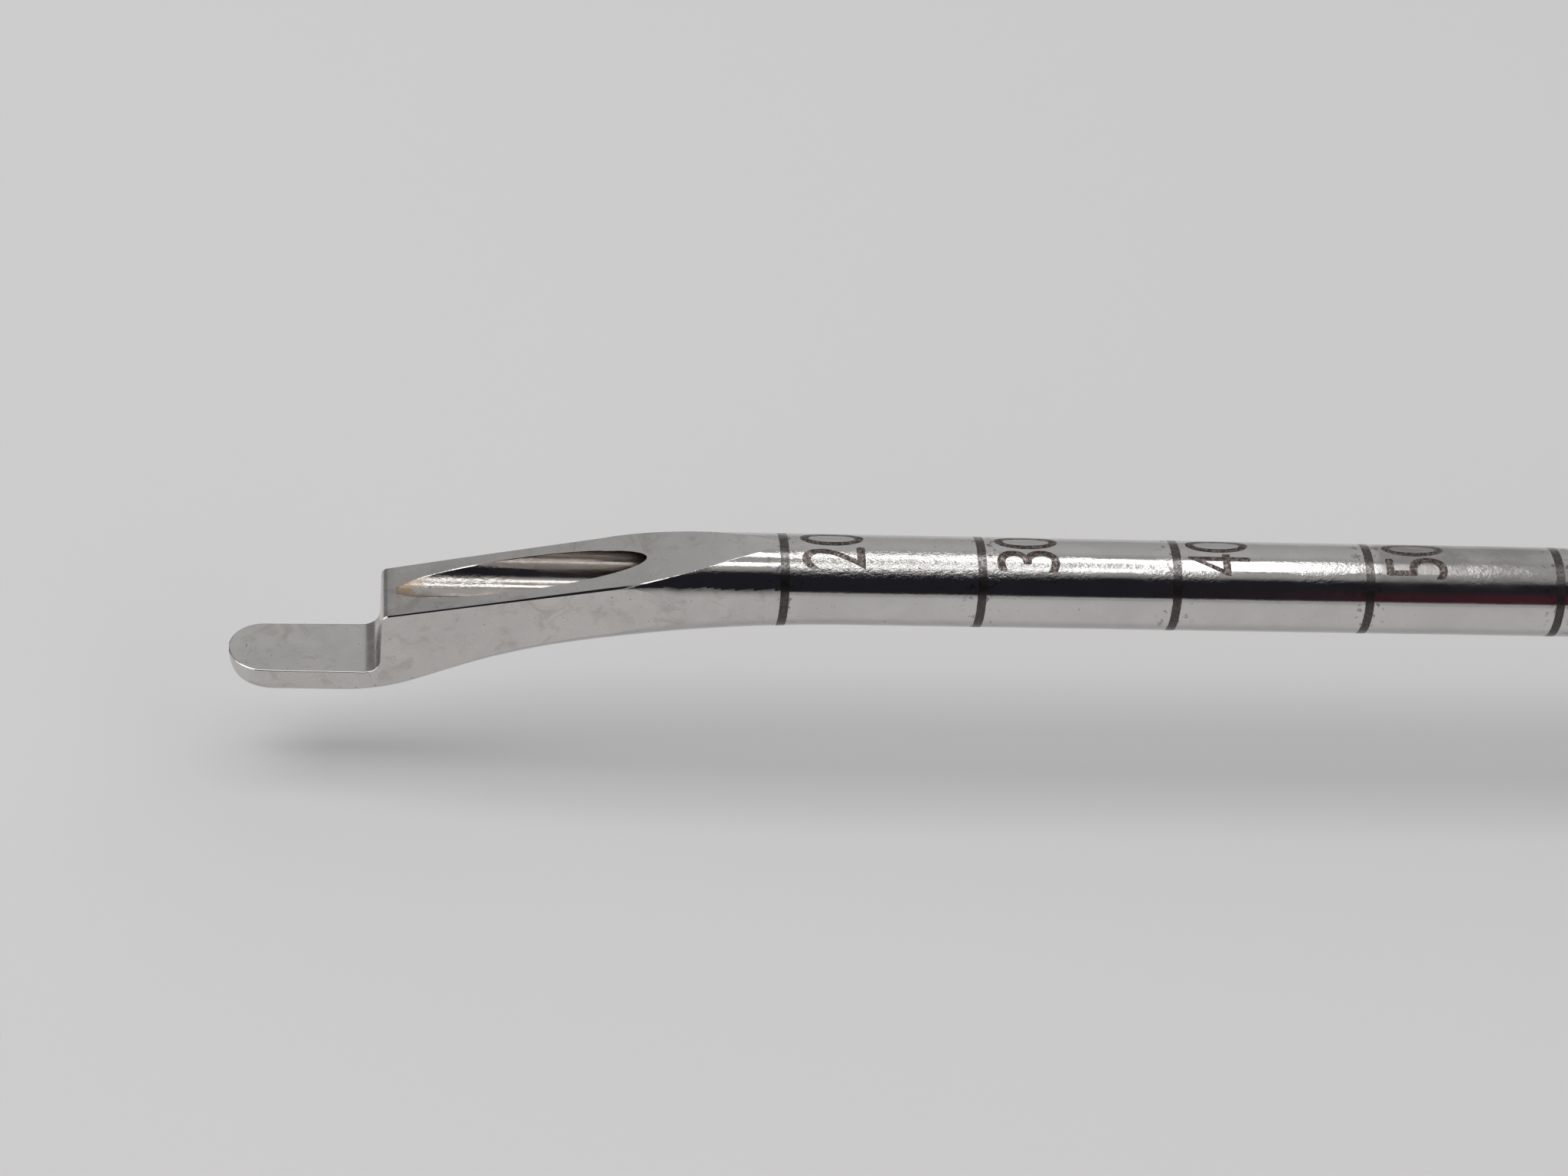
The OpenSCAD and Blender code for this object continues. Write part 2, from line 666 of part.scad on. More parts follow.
module lock_collar() placed() color("darkgray") difference() {
    edge = groove_depth;
    key_r = key_flat_w / 2 + collar_clear;
    pitch = (collar_end - collar_x) / (collar_grooves + 1);
    groove = pitch / 5;
    grooves = [for (i = [1 : collar_grooves]) let (x = collar_x + i * pitch)
        each [
            [collar_r, x - 2 * groove], [collar_r - groove_depth, x - groove],
            [collar_r - groove_depth, x + groove], [collar_r, x + 2 * groove],
        ]];
    turned(concat(
        [[ramp_r(collar_x), collar_x], [collar_r - edge, collar_x], [collar_r, collar_x + edge]],
        grooves,
        [
            [collar_r, collar_end - edge], [collar_r - edge, collar_end],
            [pocket_r, collar_end], [pocket_r, pocket_x],
            [key_r, pocket_x], [key_r, land_x], [land_r, land_x],
        ]));
    intersection() {
        rod(land_x - cut, pocket_x + cut, land_r);
        translate([land_x - cut, -key_r, -barrel_d])
            cube([land_len + 2 * cut, 2 * key_r, 2 * barrel_d]);
    }
}

// Coil of round wire, between the collar's pocket and the neck
module collar_spring() placed() color("slategray") {
    steps = 16 * spring_coils;
    sides = 8;
    mean_r = (barrel_r + pocket_r) / 2;
    wire_r = spring_wire / 2;
    x0 = pocket_x + seat_clear + wire_r;
    x1 = neck_x - seat_clear - wire_r;
    points = [for (i = [0 : steps], j = [0 : sides - 1])
        let (a = 360 * spring_coils * i / steps, b = 360 * j / sides, r = mean_r + wire_r * cos(b))
        [x0 + (x1 - x0) * i / steps + wire_r * sin(b), r * cos(a), r * sin(a)]];
    walls = [for (i = [0 : steps - 1], j = [0 : sides - 1])
        let (k = i * sides, n = (j + 1) % sides)
        [k + j, k + n, k + sides + n, k + sides + j]];
    ends = [[for (j = [sides - 1 : -1 : 0]) j], [for (j = [0 : sides - 1]) steps * sides + j]];
    polyhedron(points, concat(walls, ends), convexity = 10);
}

module retaining_ring() placed() color("slategray") difference() {
    inner = barrel_r - ring_groove + seat_clear;
    x0 = ring_x + seat_clear;
    turned([[inner, x0], [ring_d / 2, x0], [ring_d / 2, x0 + ring_t], [inner, x0 + ring_t]]);
    translate([x0 - cut, -ring_split / 2, -ring_d]) cube([ring_t + 2 * cut, ring_split, ring_d]);
}

module lock_ball(i) placed() color("gainsboro") at_ball(i) translate([0, 0, ball_seat_r]) sphere(ball_r);

module lock_ball_top() lock_ball(0);

module lock_ball_near() lock_ball(1);

module lock_ball_far() lock_ball(2);

// ---------- rear end ----------

module end_cap() placed() color("silver") difference() {
    thread_r = cap_thread_d / 2;
    front = boss_end - cap_thread_len;
    seat_end = boss_end - cap_ring_inset;
    seat_r = thread_r - ring_cord_d - spigot_clear;
    hole_r = bush_d / 2;
    turned([
        [hole_r, front], [thread_r - hub_lip, front], [thread_r, front + hub_lip],
        [thread_r, seat_end - ring_seat_w], [seat_r, seat_end - ring_seat_w],
        [seat_r, seat_end], [thread_r, seat_end],
        [thread_r, boss_end], [cap_d / 2, boss_end], [cap_d / 2, cap_end - cap_chamfer],
        [cap_d / 2 - cap_chamfer, cap_end], [hole_r, cap_end],
    ]);
    for (side = [-1, 1]) translate([boss_end + cap_t / 3, side * (cap_flat_w / 2 + cap_d / 2), 0])
        translate([0, -cap_d / 2, -cap_d]) cube([cap_t, cap_d, 2 * cap_d]);
}

module cap_o_ring() placed() color("black")
    o_ring(boss_end - cap_ring_inset - ring_seat_w / 2, cap_thread_d / 2 - cord_r);

module pin_bush() placed() color("gainsboro") {
    outer_r = bush_d / 2 - press_gap;
    flange_r = bush_flange_d / 2;
    edge = bush_flange_t / 4;
    front = boss_end - bush_reach;
    turned([
        [bore_r, front], [outer_r, front], [outer_r, cap_end], [flange_r, cap_end],
        [flange_r, tail_x - edge], [flange_r - edge, tail_x],
        [funnel_d / 2, tail_x], [bore_r, tail_x - funnel_len],
    ]);
}

// ---------- pin clamp ----------

// A turned shape about the clamp's axis, from points of [radius, z]
module turned_up(points) translate([clamp_x, 0, 0]) rotate_extrude() polygon(points);

module clamp_nut_bush() placed() color("gainsboro") {
    inner_r = clamp_d / 2 + thread_clear;
    outer_r = nut_bush_d / 2 - press_gap;
    flange_r = nut_flange_d / 2;
    edge = nut_flange_t / 4;
    turned_up([
        [inner_r, seat_h - nut_bush_len], [outer_r, seat_h - nut_bush_len], [outer_r, seat_h],
        [flange_r, seat_h], [flange_r, flange_z - edge], [flange_r - edge, flange_z],
        [inner_r, flange_z],
    ]);
}

module clamp_pad() placed() color("burlywood") turned_up([
    [0, pad_z], [pad_d / 2 - edge_break, pad_z], [pad_d / 2, pad_z + edge_break],
    [pad_d / 2, pad_z + pad_len], [pivot_d / 2 + pad_clear, pad_z + pad_len],
    [pivot_d / 2 + pad_clear, pivot_z], [0, pivot_z],
]);

module clamp_screw() placed() color("silver") difference() {
    shank_z = pad_z + pad_len + seat_clear;
    turned_up([
        [0, pivot_z + seat_clear], [pivot_d / 2, pivot_z + seat_clear], [pivot_d / 2, shank_z],
        [clamp_d / 2, shank_z], [clamp_d / 2, knob_top - cut], [0, knob_top - cut],
    ]);
    across(clamp_x, cross_pin_z, -stem_d, stem_d, cross_pin_d / 2);
}

module clamp_knob() placed() color("dimgray") difference() {
    edge = knob_h / 6;
    head_z = knob_z + stem_h;
    hole_r = clamp_d / 2 + press_gap;
    turned_up([
        [hole_r, knob_z], [stem_d / 2, knob_z], [stem_d / 2, head_z],
        [knob_d / 2 - edge, head_z], [knob_d / 2, head_z + edge],
        [knob_d / 2, knob_top - edge], [knob_d / 2 - edge, knob_top], [hole_r, knob_top],
    ]);
    for (i = [0 : scallops - 1]) translate([clamp_x, 0, head_z - cut])
        rotate([0, 0, 360 * (i + 0.5) / scallops]) translate([knob_d / 2 + scallop_r - scallop_depth, 0, 0])
            cylinder(h = knob_h + 2 * cut, r = scallop_r);
    across(clamp_x, cross_pin_z, -stem_d, stem_d, cross_pin_d / 2);
}

module knob_cross_pin() placed() color("slategray") {
    reach = stem_d / 2 - press_gap;
    across(clamp_x, cross_pin_z, -reach, reach, cross_pin_d / 2 - press_gap);
}

guide_shaft();
shaft_hub();
hub_key();
hub_o_ring();
handle_core();
grip_left();
grip_right();
grip_screws();
grip_sleeve_nuts();
lock_collar();
collar_spring();
retaining_ring();
lock_ball_top();
lock_ball_near();
lock_ball_far();
end_cap();
cap_o_ring();
pin_bush();
clamp_nut_bush();
clamp_pad();
clamp_screw();
clamp_knob();
knob_cross_pin();
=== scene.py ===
# Offset drill guide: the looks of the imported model. Lengths of the guide are written in
# millimetres, along +X from the step face of its tip and upwards from the bore axis, as in
# the part's source, and place() sets a finished mesh into the frame, in metres.
from math import asin, atan2, cos, degrees, dist, hypot, pi, radians, sin, sqrt, tan

import bmesh
import bpy
from mathutils import Matrix, Vector


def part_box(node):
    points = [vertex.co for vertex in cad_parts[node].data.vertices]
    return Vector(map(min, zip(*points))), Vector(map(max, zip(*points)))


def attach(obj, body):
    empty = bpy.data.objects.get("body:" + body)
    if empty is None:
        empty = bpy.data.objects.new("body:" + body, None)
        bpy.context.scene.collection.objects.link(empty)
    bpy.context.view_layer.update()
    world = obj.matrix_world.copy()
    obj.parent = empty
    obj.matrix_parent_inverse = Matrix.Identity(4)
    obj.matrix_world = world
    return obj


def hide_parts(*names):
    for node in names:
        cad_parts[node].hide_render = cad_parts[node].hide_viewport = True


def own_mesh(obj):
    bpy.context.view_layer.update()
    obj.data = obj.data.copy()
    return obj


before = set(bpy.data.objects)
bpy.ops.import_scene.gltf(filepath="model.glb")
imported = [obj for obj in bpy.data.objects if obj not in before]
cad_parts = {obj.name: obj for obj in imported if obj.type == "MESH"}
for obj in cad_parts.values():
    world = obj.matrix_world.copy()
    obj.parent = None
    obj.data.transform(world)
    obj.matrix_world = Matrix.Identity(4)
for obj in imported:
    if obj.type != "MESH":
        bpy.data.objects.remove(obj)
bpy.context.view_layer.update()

MM = 0.001

# Sizes of the guide shaft, as the part's source has them
SHAFT_R = 2.3
BORE_R = 1.25
TONGUE_LEN = 7.6
TONGUE_R = 1.8
TONGUE_Z = -5.1
UNDER_Z = -7.15
BELLY_LEAD = 1.9
BELLY_R = 9.3
RAMP_ANGLE = radians(23.5)
KNEE_R = 28
SWEEP_ANGLE = radians(11.75)
SWEEP_R = 70
FACET_ANGLE = radians(11.4)
STEP_Z = -1.4
FADE_R = 25
FADE_Z = SHAFT_R + 0.03
FLAT_HALF = 2.05
FLAT_LEN = 10.5
FLAT_RUN_R = 30
STEP_FILLET = 0.85
STEP_ROUND = 0.4
EDGE_R = 0.11

# The frame is centred on the part's length, so the bush's end gives the tip's end as well
STEP_X = -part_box("pin_bush")[1][0] + TONGUE_LEN * MM
AXIS_Z = (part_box("pin_bush")[0][2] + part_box("pin_bush")[1][2]) / 2


def span(node, axis=0):
    """A node's lowest and highest place along an axis, in mm on the guide."""
    start = (STEP_X, 0, AXIS_Z)[axis]
    return [(corner[axis] - start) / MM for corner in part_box(node)]


# Stations along the guide, and the clamp's axis
HUB_X, SPIGOT_END = span("shaft_hub")
CORE_X, BOSS_END = span("handle_core")
RING_X = span("retaining_ring")[0]
COLLAR_X, COLLAR_END = span("lock_collar")
BALL_X = sum(span("lock_ball_top")) / 2
SPRING_X, SPRING_END = span("collar_spring")
GRIP_X, BOSS_X = span("grip_left")
CAP_FRONT, CAP_END = span("end_cap")
BUSH_FRONT, TAIL_X = span("pin_bush")
CLAMP_X = sum(span("clamp_screw")) / 2
NUT_Z, FLANGE_Z = span("clamp_nut_bush", 2)
SCREW_Z, SCREW_TOP = span("clamp_screw", 2)
KNOB_Z, KNOB_TOP = span("clamp_knob", 2)
PIN_Z = sum(span("knob_cross_pin", 2)) / 2

# Sizes across the handle
HUB_BORE_R = 2.33
SPIGOT_R = 4
BARREL_R = 6.2
NECK_R = 8.1
NECK_BORE_R = NECK_R + 0.1
COLLAR_R = 9.5
COLLAR_BORE_R = BARREL_R + 0.05
COLLAR_FLAT = 5.75
COLLAR_TRAVEL, BALL_SLOPE = 4, 0.15
HALF_W, HALF_H = span("grip_right", 1)[1], span("grip_right", 2)[1]
TANG_HALF = 4
CHANNEL_R = 1.4
CAP_R = 6
BUSH_R = 2.99
KEY_X, KEY_TOP, KEY_R = CORE_X + 15, -2.53, 0.75
SEAL_DEPTH, SEAL_HALF = 0.89, 0.58

# Screws and sleeve nuts of the grip: their places, and their heads' faces and seats
SCREW_PLACES = [(x, 0, z) for x in (GRIP_X + 7, BOSS_X - 7) for z in (-6.5, 6.5)]
SCREW_R, SLEEVE_R, HEAD_R, SLACK = 1.5, 2.2, 2.8, 0.05
HEAD_FACE, HEAD_SEAT = HALF_W - 0.3, HALF_W - 2.1

# Pin clamp
M4_R, KNOB_R, STEM_R, CROSS_HOLE_R = 2, 7.5, 5, 0.75


# --- helpers ---

def place(bm):
    """From millimetres on the guide to metres in the frame."""
    bmesh.ops.transform(
        bm, matrix=Matrix.Translation((STEP_X, 0, AXIS_Z)) @ Matrix.Scale(MM, 4), verts=bm.verts)


def new_object(name, data):
    obj = bpy.data.objects.new(name, data)
    bpy.context.scene.collection.objects.link(obj)
    return obj


def mesh_object(name, bm, materials=(), sharp_deg=30):
    mesh = bpy.data.meshes.new(name)
    bm.to_mesh(mesh)
    bm.free()
    mesh.shade_smooth()
    mesh.set_sharp_from_angle(angle=radians(sharp_deg))
    for material in materials:
        mesh.materials.append(material)
    return new_object(name, mesh)


def fit(name, bm, body, slot, *finishes, sharp_deg=30):
    """Sets a finished piece in its place on a body."""
    place(bm)
    piece = mesh_object(name, bm, finishes, sharp_deg)
    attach(piece, body)
    return piece


def stand_in(node, bm, slot, *finishes, body="handle", sharp_deg=30):
    """Sets a finished piece in place of its CAD node."""
    piece = fit(f"{node}_fine", bm, body, slot, *finishes, sharp_deg=sharp_deg)
    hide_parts(node)
    return piece


def lerp(a, b, t):
    return a + (b - a) * t


def outward(bm):
    bmesh.ops.recalc_face_normals(bm, faces=bm.faces)
    return bm


def clean(bm):
    bmesh.ops.remove_doubles(bm, verts=bm.verts, dist=2e-4)
    bmesh.ops.dissolve_degenerate(bm, edges=bm.edges, dist=1e-4)
    return outward(bm)


def break_edges(bm, offset, wanted=lambda e: True, angle=20, segments=2):
    """Rounds the wanted edges that turn by more than an angle."""
    edges = [e for e in bm.edges if len(e.link_faces) == 2 and wanted(e)
             and e.calc_face_angle() > radians(angle)]
    bmesh.ops.bevel(
        bm, geom=edges, offset=offset, affect="EDGES", segments=segments, profile=0.5, material=-1,
        clamp_overlap=True)
    return bm


def turned(points, about="X", centre=(0, 0, 0), edge=0.15, steps=96, closed=True):
    """A turned piece from (radius, station) points of its section, with its edges broken."""
    bm = bmesh.new()
    spots = {"X": lambda r, s: (s, 0, r), "Y": lambda r, s: (r, s, 0), "Z": lambda r, s: (r, 0, s)}
    row = [bm.verts.new(Vector(spots[about](r, s)) + Vector(centre)) for r, s in points]
    for a, b in zip(row, row[1:] + row[:1] * closed):
        bm.edges.new((a, b))
    axis = [float(about == name) for name in "XYZ"]
    bmesh.ops.spin(
        bm, geom=bm.verts[:] + bm.edges[:], cent=centre, axis=axis, dvec=(0, 0, 0), angle=2 * pi,
        steps=steps, use_merge=True)
    clean(bm)
    return break_edges(bm, edge) if edge else bm


def plug(points, about="X", centre=(0, 0, 0), steps=96):
    """A turned cutter, from its axis out and back, with sharp edges."""
    return turned(points, about, centre, 0, steps, closed=False)


def stepped(start, *steps):
    """Section points from the axis out and back, with each step's radius and its end."""
    points = [(0, start)]
    for r, end in steps:
        points += [(r, points[-1][1]), (r, end)]
    return points + [(0, end)]


def rod(x0, x1, r, steps=64):
    return plug(stepped(x0, (r, x1)), steps=steps)


def post(x, z0, z1, r, y=0, steps=64):
    return plug(stepped(z0, (r, z1)), "Z", (x, y, 0), steps)


def across(x, z, y0, y1, r, steps=64):
    return plug(stepped(y0, (r, y1)), "Y", (x, 0, z), steps)


def seal_groove(r, x):
    """Section points of an O-ring's groove in a surface of radius r."""
    floor_r, x0, x1 = r - SEAL_DEPTH, x - SEAL_HALF, x + SEAL_HALF
    return [(r, x0), (floor_r, x0), (floor_r, x1), (r, x1)]


def box(low, high):
    bm = bmesh.new()
    size = [b - a for a, b in zip(low, high)]
    middle = Matrix.Translation([(a + b) / 2 for a, b in zip(low, high)])
    bmesh.ops.create_cube(bm, size=1, matrix=middle @ Matrix.Diagonal((*size, 1)))
    return bm


def joined(bm, others, operation="DIFFERENCE"):
    """Cuts a solid by others, or joins or crosses it with them."""
    body = mesh_object("blank", bm)
    tools = [mesh_object("tool", other) for other in others]
    for tool in tools:
        step = body.modifiers.new("step", "BOOLEAN")
        step.operation = operation
        step.solver = "EXACT"
        step.object = tool
    result = bmesh.new()
    result.from_mesh(body.evaluated_get(bpy.context.evaluated_depsgraph_get()).to_mesh())
    for obj in [body] + tools:
        bpy.data.objects.remove(obj)
    clean(result)
    # Fills the slivers that cleaning can leave open
    bmesh.ops.holes_fill(result, edges=[e for e in result.edges if e.is_boundary], sides=4)
    return result


def everything(bm):
    return bm.verts[:] + bm.edges[:] + bm.faces[:]


def mirrored(bm):
    bmesh.ops.scale(bm, vec=(1, -1, 1), verts=bm.verts)
    return outward(bm)


def copied(bm, places):
    """The same shape at each of several places."""
    first = everything(bm)
    for spot in places[1:]:
        made = bmesh.ops.duplicate(bm, geom=first)["geom"]
        verts = [v for v in made if isinstance(v, bmesh.types.BMVert)]
        bmesh.ops.translate(bm, vec=Vector(spot) - Vector(places[0]), verts=verts)
    return bm


# --- materials ---

class Nodes:
    """A node tree, with short calls for its nodes."""

    def __init__(self, tree, coords):
        self.tree = tree
        self.coords = self.new("TexCoord").outputs[coords]

    def feed(self, socket, value):
        """Sets a socket, or links to it where the value is another node's output."""
        if isinstance(value, bpy.types.NodeSocket):
            self.tree.links.new(value, socket)
        elif isinstance(value, tuple) and len(value) == 3 and len(socket.default_value) == 4:
            socket.default_value = (*value, 1)
        else:
            socket.default_value = value

    def fill(self, node, **sockets):
        """Feeds a node's inputs by name, where _ stands for a blank."""
        for name, value in sockets.items():
            self.feed(node.inputs[name.replace("_", " ")], value)
        return node

    def new(self, kind, **sockets):
        return self.fill(self.tree.nodes.new("ShaderNode" + kind), **sockets)

    def noise(self, per_mm, detail=3, rough=0.5, stretch=(1, 1, 1), location=(0, 0, 0),
              distortion=0):
        spot = self.new("Mapping", Vector=self.coords, Scale=stretch, Location=location)
        return self.new(
            "TexNoise", Vector=spot.outputs["Vector"], Scale=per_mm / MM, Detail=detail,
            Roughness=rough, Distortion=distortion).outputs["Fac"]

    def axis(self, name):
        return self.new("SeparateXYZ", Vector=self.coords).outputs[name]

    def math(self, operation, *values):
        node = self.new("Math")
        node.operation = operation
        for socket, value in zip(node.inputs, values):
            self.feed(socket, value)
        return node.outputs["Value"]

    def plus(self, a, b):
        return self.math("ADD", a, b)

    def minus(self, a, b):
        return self.math("SUBTRACT", a, b)

    def times(self, a, b):
        return self.math("MULTIPLY", a, b)

    def radius(self, a, b):
        """Distance from a line, from the offsets to it along two axes."""
        return self.math("SQRT", self.plus(self.math("POWER", a, 2.0), self.math("POWER", b, 2.0)))

    def ramp(self, value, low, high, to_low=0.0, to_high=1.0):
        """A smooth step from to_low at low to to_high at high, where low may be the larger."""
        if low > high:
            low, high, to_low, to_high = high, low, to_high, to_low
        node = self.new("MapRange", Value=value, From_Min=low, From_Max=high, To_Min=to_low,
                        To_Max=to_high)
        node.interpolation_type = "SMOOTHSTEP"
        return node.outputs["Result"]

    def mix(self, fac, a, b):
        """Colour a where fac is 0 and colour b where it is 1."""
        node = self.new("Mix")
        node.data_type = "RGBA"
        self.feed(node.inputs["Factor"], fac)
        self.feed(node.inputs[6], a)
        self.feed(node.inputs[7], b)
        return node.outputs[2]


class Finish(Nodes):
    """A material, by default a metal."""

    def __init__(self, name, metallic=1.0, specular=0.5):
        self.material = bpy.data.materials.new(name)
        self.material.use_nodes = True
        super().__init__(self.material.node_tree, "Object")
        self.shader = self.fill(
            self.tree.nodes["Principled BSDF"], Metallic=metallic, Specular_IOR_Level=specular)

    def done(self, base, rough, *layers):
        """The material, with stacked bumps of (height output, strength, distance in mm)."""
        below = {}
        for height, strength, distance in layers:
            bump = self.new(
                "Bump", Height=height, Strength=strength, Distance=distance * MM, **below)
            below = {"Normal": bump.outputs["Normal"]}
        self.fill(self.shader, Base_Color=base, Roughness=rough, **below)
        return self.material


STEEL = (0.645, 0.632, 0.615)
MARK = (0.058, 0.049, 0.045)
FIRST_RING, LAST_RING, RING_PITCH, RING_W = 20, 100, 10, 0.46


def depth_rings(m, s, height, base, rough):
    """Burnt rings every 10 mm, worn in spots and faded in a painted highlight band, with a little
    residue near.
    """
    half_pitch, half_w, blur = RING_PITCH / 2, RING_W / 2, 0.025
    wander = m.times(m.minus(m.noise(4, 3), 0.5), 0.06)
    s_near = m.plus(m.minus(m.plus(s, half_pitch), FIRST_RING), wander)
    wrapped = m.minus(m.math("FLOORED_MODULO", s_near, RING_PITCH), half_pitch)
    distance = m.math("ABSOLUTE", wrapped)
    ring = m.ramp(distance, half_w + blur, half_w - blur)
    on_scale = m.times(m.ramp(s, FIRST_RING - 1, FIRST_RING - 0.9),
                       m.ramp(s, LAST_RING + 1, LAST_RING + 0.9))
    # Not wear: the band named rubbed lies on the upper sides where the lamps' highlight falls, and
    # the rings fade more there, a painted highlight; the noise below thins them as wear
    rubbed = m.times(m.ramp(height, 1.3, 1.6, 0.2, 1.0), m.ramp(height, 2.28, 2.18, 0.4, 1.0))
    wear_and_painted_highlight = m.times(m.ramp(m.noise(7, 3, 0.8), 0.62, 0.36, 0.1, 0.45), rubbed)
    specks = m.times(m.ramp(distance, 1.2, 0.3), m.ramp(m.noise(2.6, 4), 0.58, 0.64))
    mark = m.math("MAXIMUM", m.times(ring, m.minus(1.0, wear_and_painted_highlight)), m.times(specks, 0.6))
    mark = m.times(mark, on_scale)
    return m.mix(mark, base, MARK), m.math("MAXIMUM", rough, m.times(mark, 0.26))


def steel(name, rough, color=STEEL, grain=0.0, ripple=0.0, stain=0.0, rings=False, rust=False):
    """Stainless steel, with smears, handling marks and some tarnish.

    grain and ripple are the strengths of a fine and of a combed unevenness, stain is the share of
    brown blots, rust browns the bore's mouth, and rings adds the depth rings and a hazy patch whose
    base is darkened on the upper side, where the lamps' highlight falls: painted shade.
    """
    m = Finish(name)
    s = m.math("DIVIDE", m.minus(m.axis("X"), STEP_X), MM)
    patches = m.ramp(m.noise(0.35, 4, 0.6, distortion=0.6), 0.35, 0.7)
    base = m.mix(patches, color, tuple(0.92 * c for c in color))
    specks = m.ramp(m.noise(3.2, 4, 0.7), 0.66, 0.72, 0, 0.45)
    base = m.mix(specks, base, tuple(0.5 * c for c in color))
    pits = m.ramp(m.noise(5, 2, 0.6, location=(4, 0, 0)), 0.72, 0.76, 0, 0.8)
    base = m.mix(pits, base, (0.10, 0.085, 0.075))
    smear = m.noise(1.3, 5, 0.65, (0.35, 1, 1))
    rough = m.ramp(smear, 0.3, 0.7, rough * 0.75, rough * 1.35)
    if stain:
        blots = m.noise(0.55, 5, 0.7, distortion=1.2)
        base = m.mix(m.ramp(blots, 0.50, 0.66, 0, stain), base, (0.36, 0.31, 0.27))
    if rust:
        spread = m.times(m.noise(2.2, 5, 0.75), 3)
        near_end = m.ramp(m.plus(s, spread), 3.9, 2.7)
        base = m.mix(m.times(near_end, 0.7), base, (0.30, 0.19, 0.085))
        rough = m.plus(rough, m.times(near_end, 0.25))
    if rings:
        height = m.math("DIVIDE", m.minus(m.axis("Z"), AXIS_Z), MM)
        # A rougher haze behind the 50 ring, whose base is darkened only on the upper side, where
        # the lamps' highlight falls: painted shade on the highlight
        haze_and_painted_shade = m.times(m.ramp(s, 50.2, 50.8), m.ramp(s, 62, 57))
        haze_and_painted_shade = m.times(haze_and_painted_shade, m.ramp(m.noise(0.5, 4, 0.65), 0.3, 0.6, 0.4, 1))
        haze_and_painted_shade = m.times(haze_and_painted_shade, m.ramp(height, 1.3, 1.8))
        base = m.mix(m.times(haze_and_painted_shade, 0.75), base, (0.32, 0.31, 0.305))
        rough = m.plus(rough, m.times(haze_and_painted_shade, 0.1))
        base, rough = depth_rings(m, s, height, base, rough)
    layers = [(m.noise(0.5, 2), 0.12, 0.05)]
    if ripple:
        combed = m.noise(5, 3, 0.75, (0.6, 1, 1))
        where = m.ramp(m.noise(0.22, 3, location=(1.7, 0, 0)), 0.42, 0.58, 0.15, 0.6)
        if rings:
            where = m.math("MAXIMUM", where, m.times(m.ramp(s, 18, 22), m.ramp(s, 38, 30)))
            where = m.times(where, m.ramp(height, 0.9, 1.7, 0.1, 1))
        layers.append((m.times(combed, where), ripple, 0.03))
    if grain:
        layers.append((m.noise(9, 2, 0.7), grain, 0.01))
    return m.done(base, rough, *layers)


def laser_mark():
    m = Finish("laser_mark")
    worn = m.ramp(m.noise(6, 4, 0.8), 0.44, 0.62)
    return m.done(
        m.mix(worn, MARK, (0.26, 0.222, 0.205)),
        m.ramp(worn, 0, 1, 0.32, 0.22),
        (m.noise(9, 3), 0.3, 0.01))


def satin_steel():
    """Handle steel, brushed along its length, with finger smears."""
    m = Finish("satin_handle")
    brush = m.noise(5, 3, 0.7, (0.03, 1, 1))
    cloud = m.noise(0.08, 4, 0.6, distortion=0.8)
    base = m.mix(m.ramp(cloud, 0.3, 0.7), (0.62, 0.615, 0.61), (0.54, 0.535, 0.53))
    smear = m.ramp(m.noise(0.25, 5, 0.7), 0.4, 0.7, 0.0, 0.12)
    return m.done(
        base,
        m.plus(m.ramp(brush, 0.25, 0.75, 0.24, 0.36), smear),
        (brush, 0.18, 0.02), (m.noise(0.3, 2), 0.1, 0.05))


def blasted_steel():
    """Bead-blasted steel, rubbed bright where fingers hold its crests."""
    m = Finish("blasted_collar")
    beads = m.noise(6, 3, 0.75)
    cloud = m.noise(0.15, 4, 0.6)
    base = m.mix(m.ramp(cloud, 0.3, 0.7), (0.46, 0.46, 0.465), (0.38, 0.38, 0.385))
    radius = m.radius(m.axis("Y"), m.minus(m.axis("Z"), AXIS_Z))
    crest = m.times(m.ramp(radius, (COLLAR_R - 0.3) * MM, (COLLAR_R - 0.04) * MM),
                    m.ramp(m.noise(0.6, 4), 0.3, 0.6, 0.35, 1.0))
    return m.done(
        m.mix(crest, base, (0.58, 0.58, 0.575)),
        m.minus(m.ramp(beads, 0.2, 0.8, 0.38, 0.5), m.times(crest, 0.16)),
        (beads, 0.35, 0.03), (m.noise(0.5, 2), 0.1, 0.05))


def bright_steel():
    """Polished steel of small parts, with fine scratches."""
    color, rough = (0.66, 0.66, 0.655), 0.14
    m = Finish("bright_steel")
    scratches = m.noise(3, 4, 0.75, (1, 0.12, 0.5), distortion=0.5)
    cloud = m.noise(0.5, 4, 0.6)
    return m.done(
        m.mix(m.ramp(cloud, 0.35, 0.7), color, tuple(0.88 * c for c in color)),
        m.ramp(scratches, 0.3, 0.7, rough * 0.7, rough * 1.5),
        (scratches, 0.12, 0.02), (m.noise(8, 2), 0.06, 0.01))


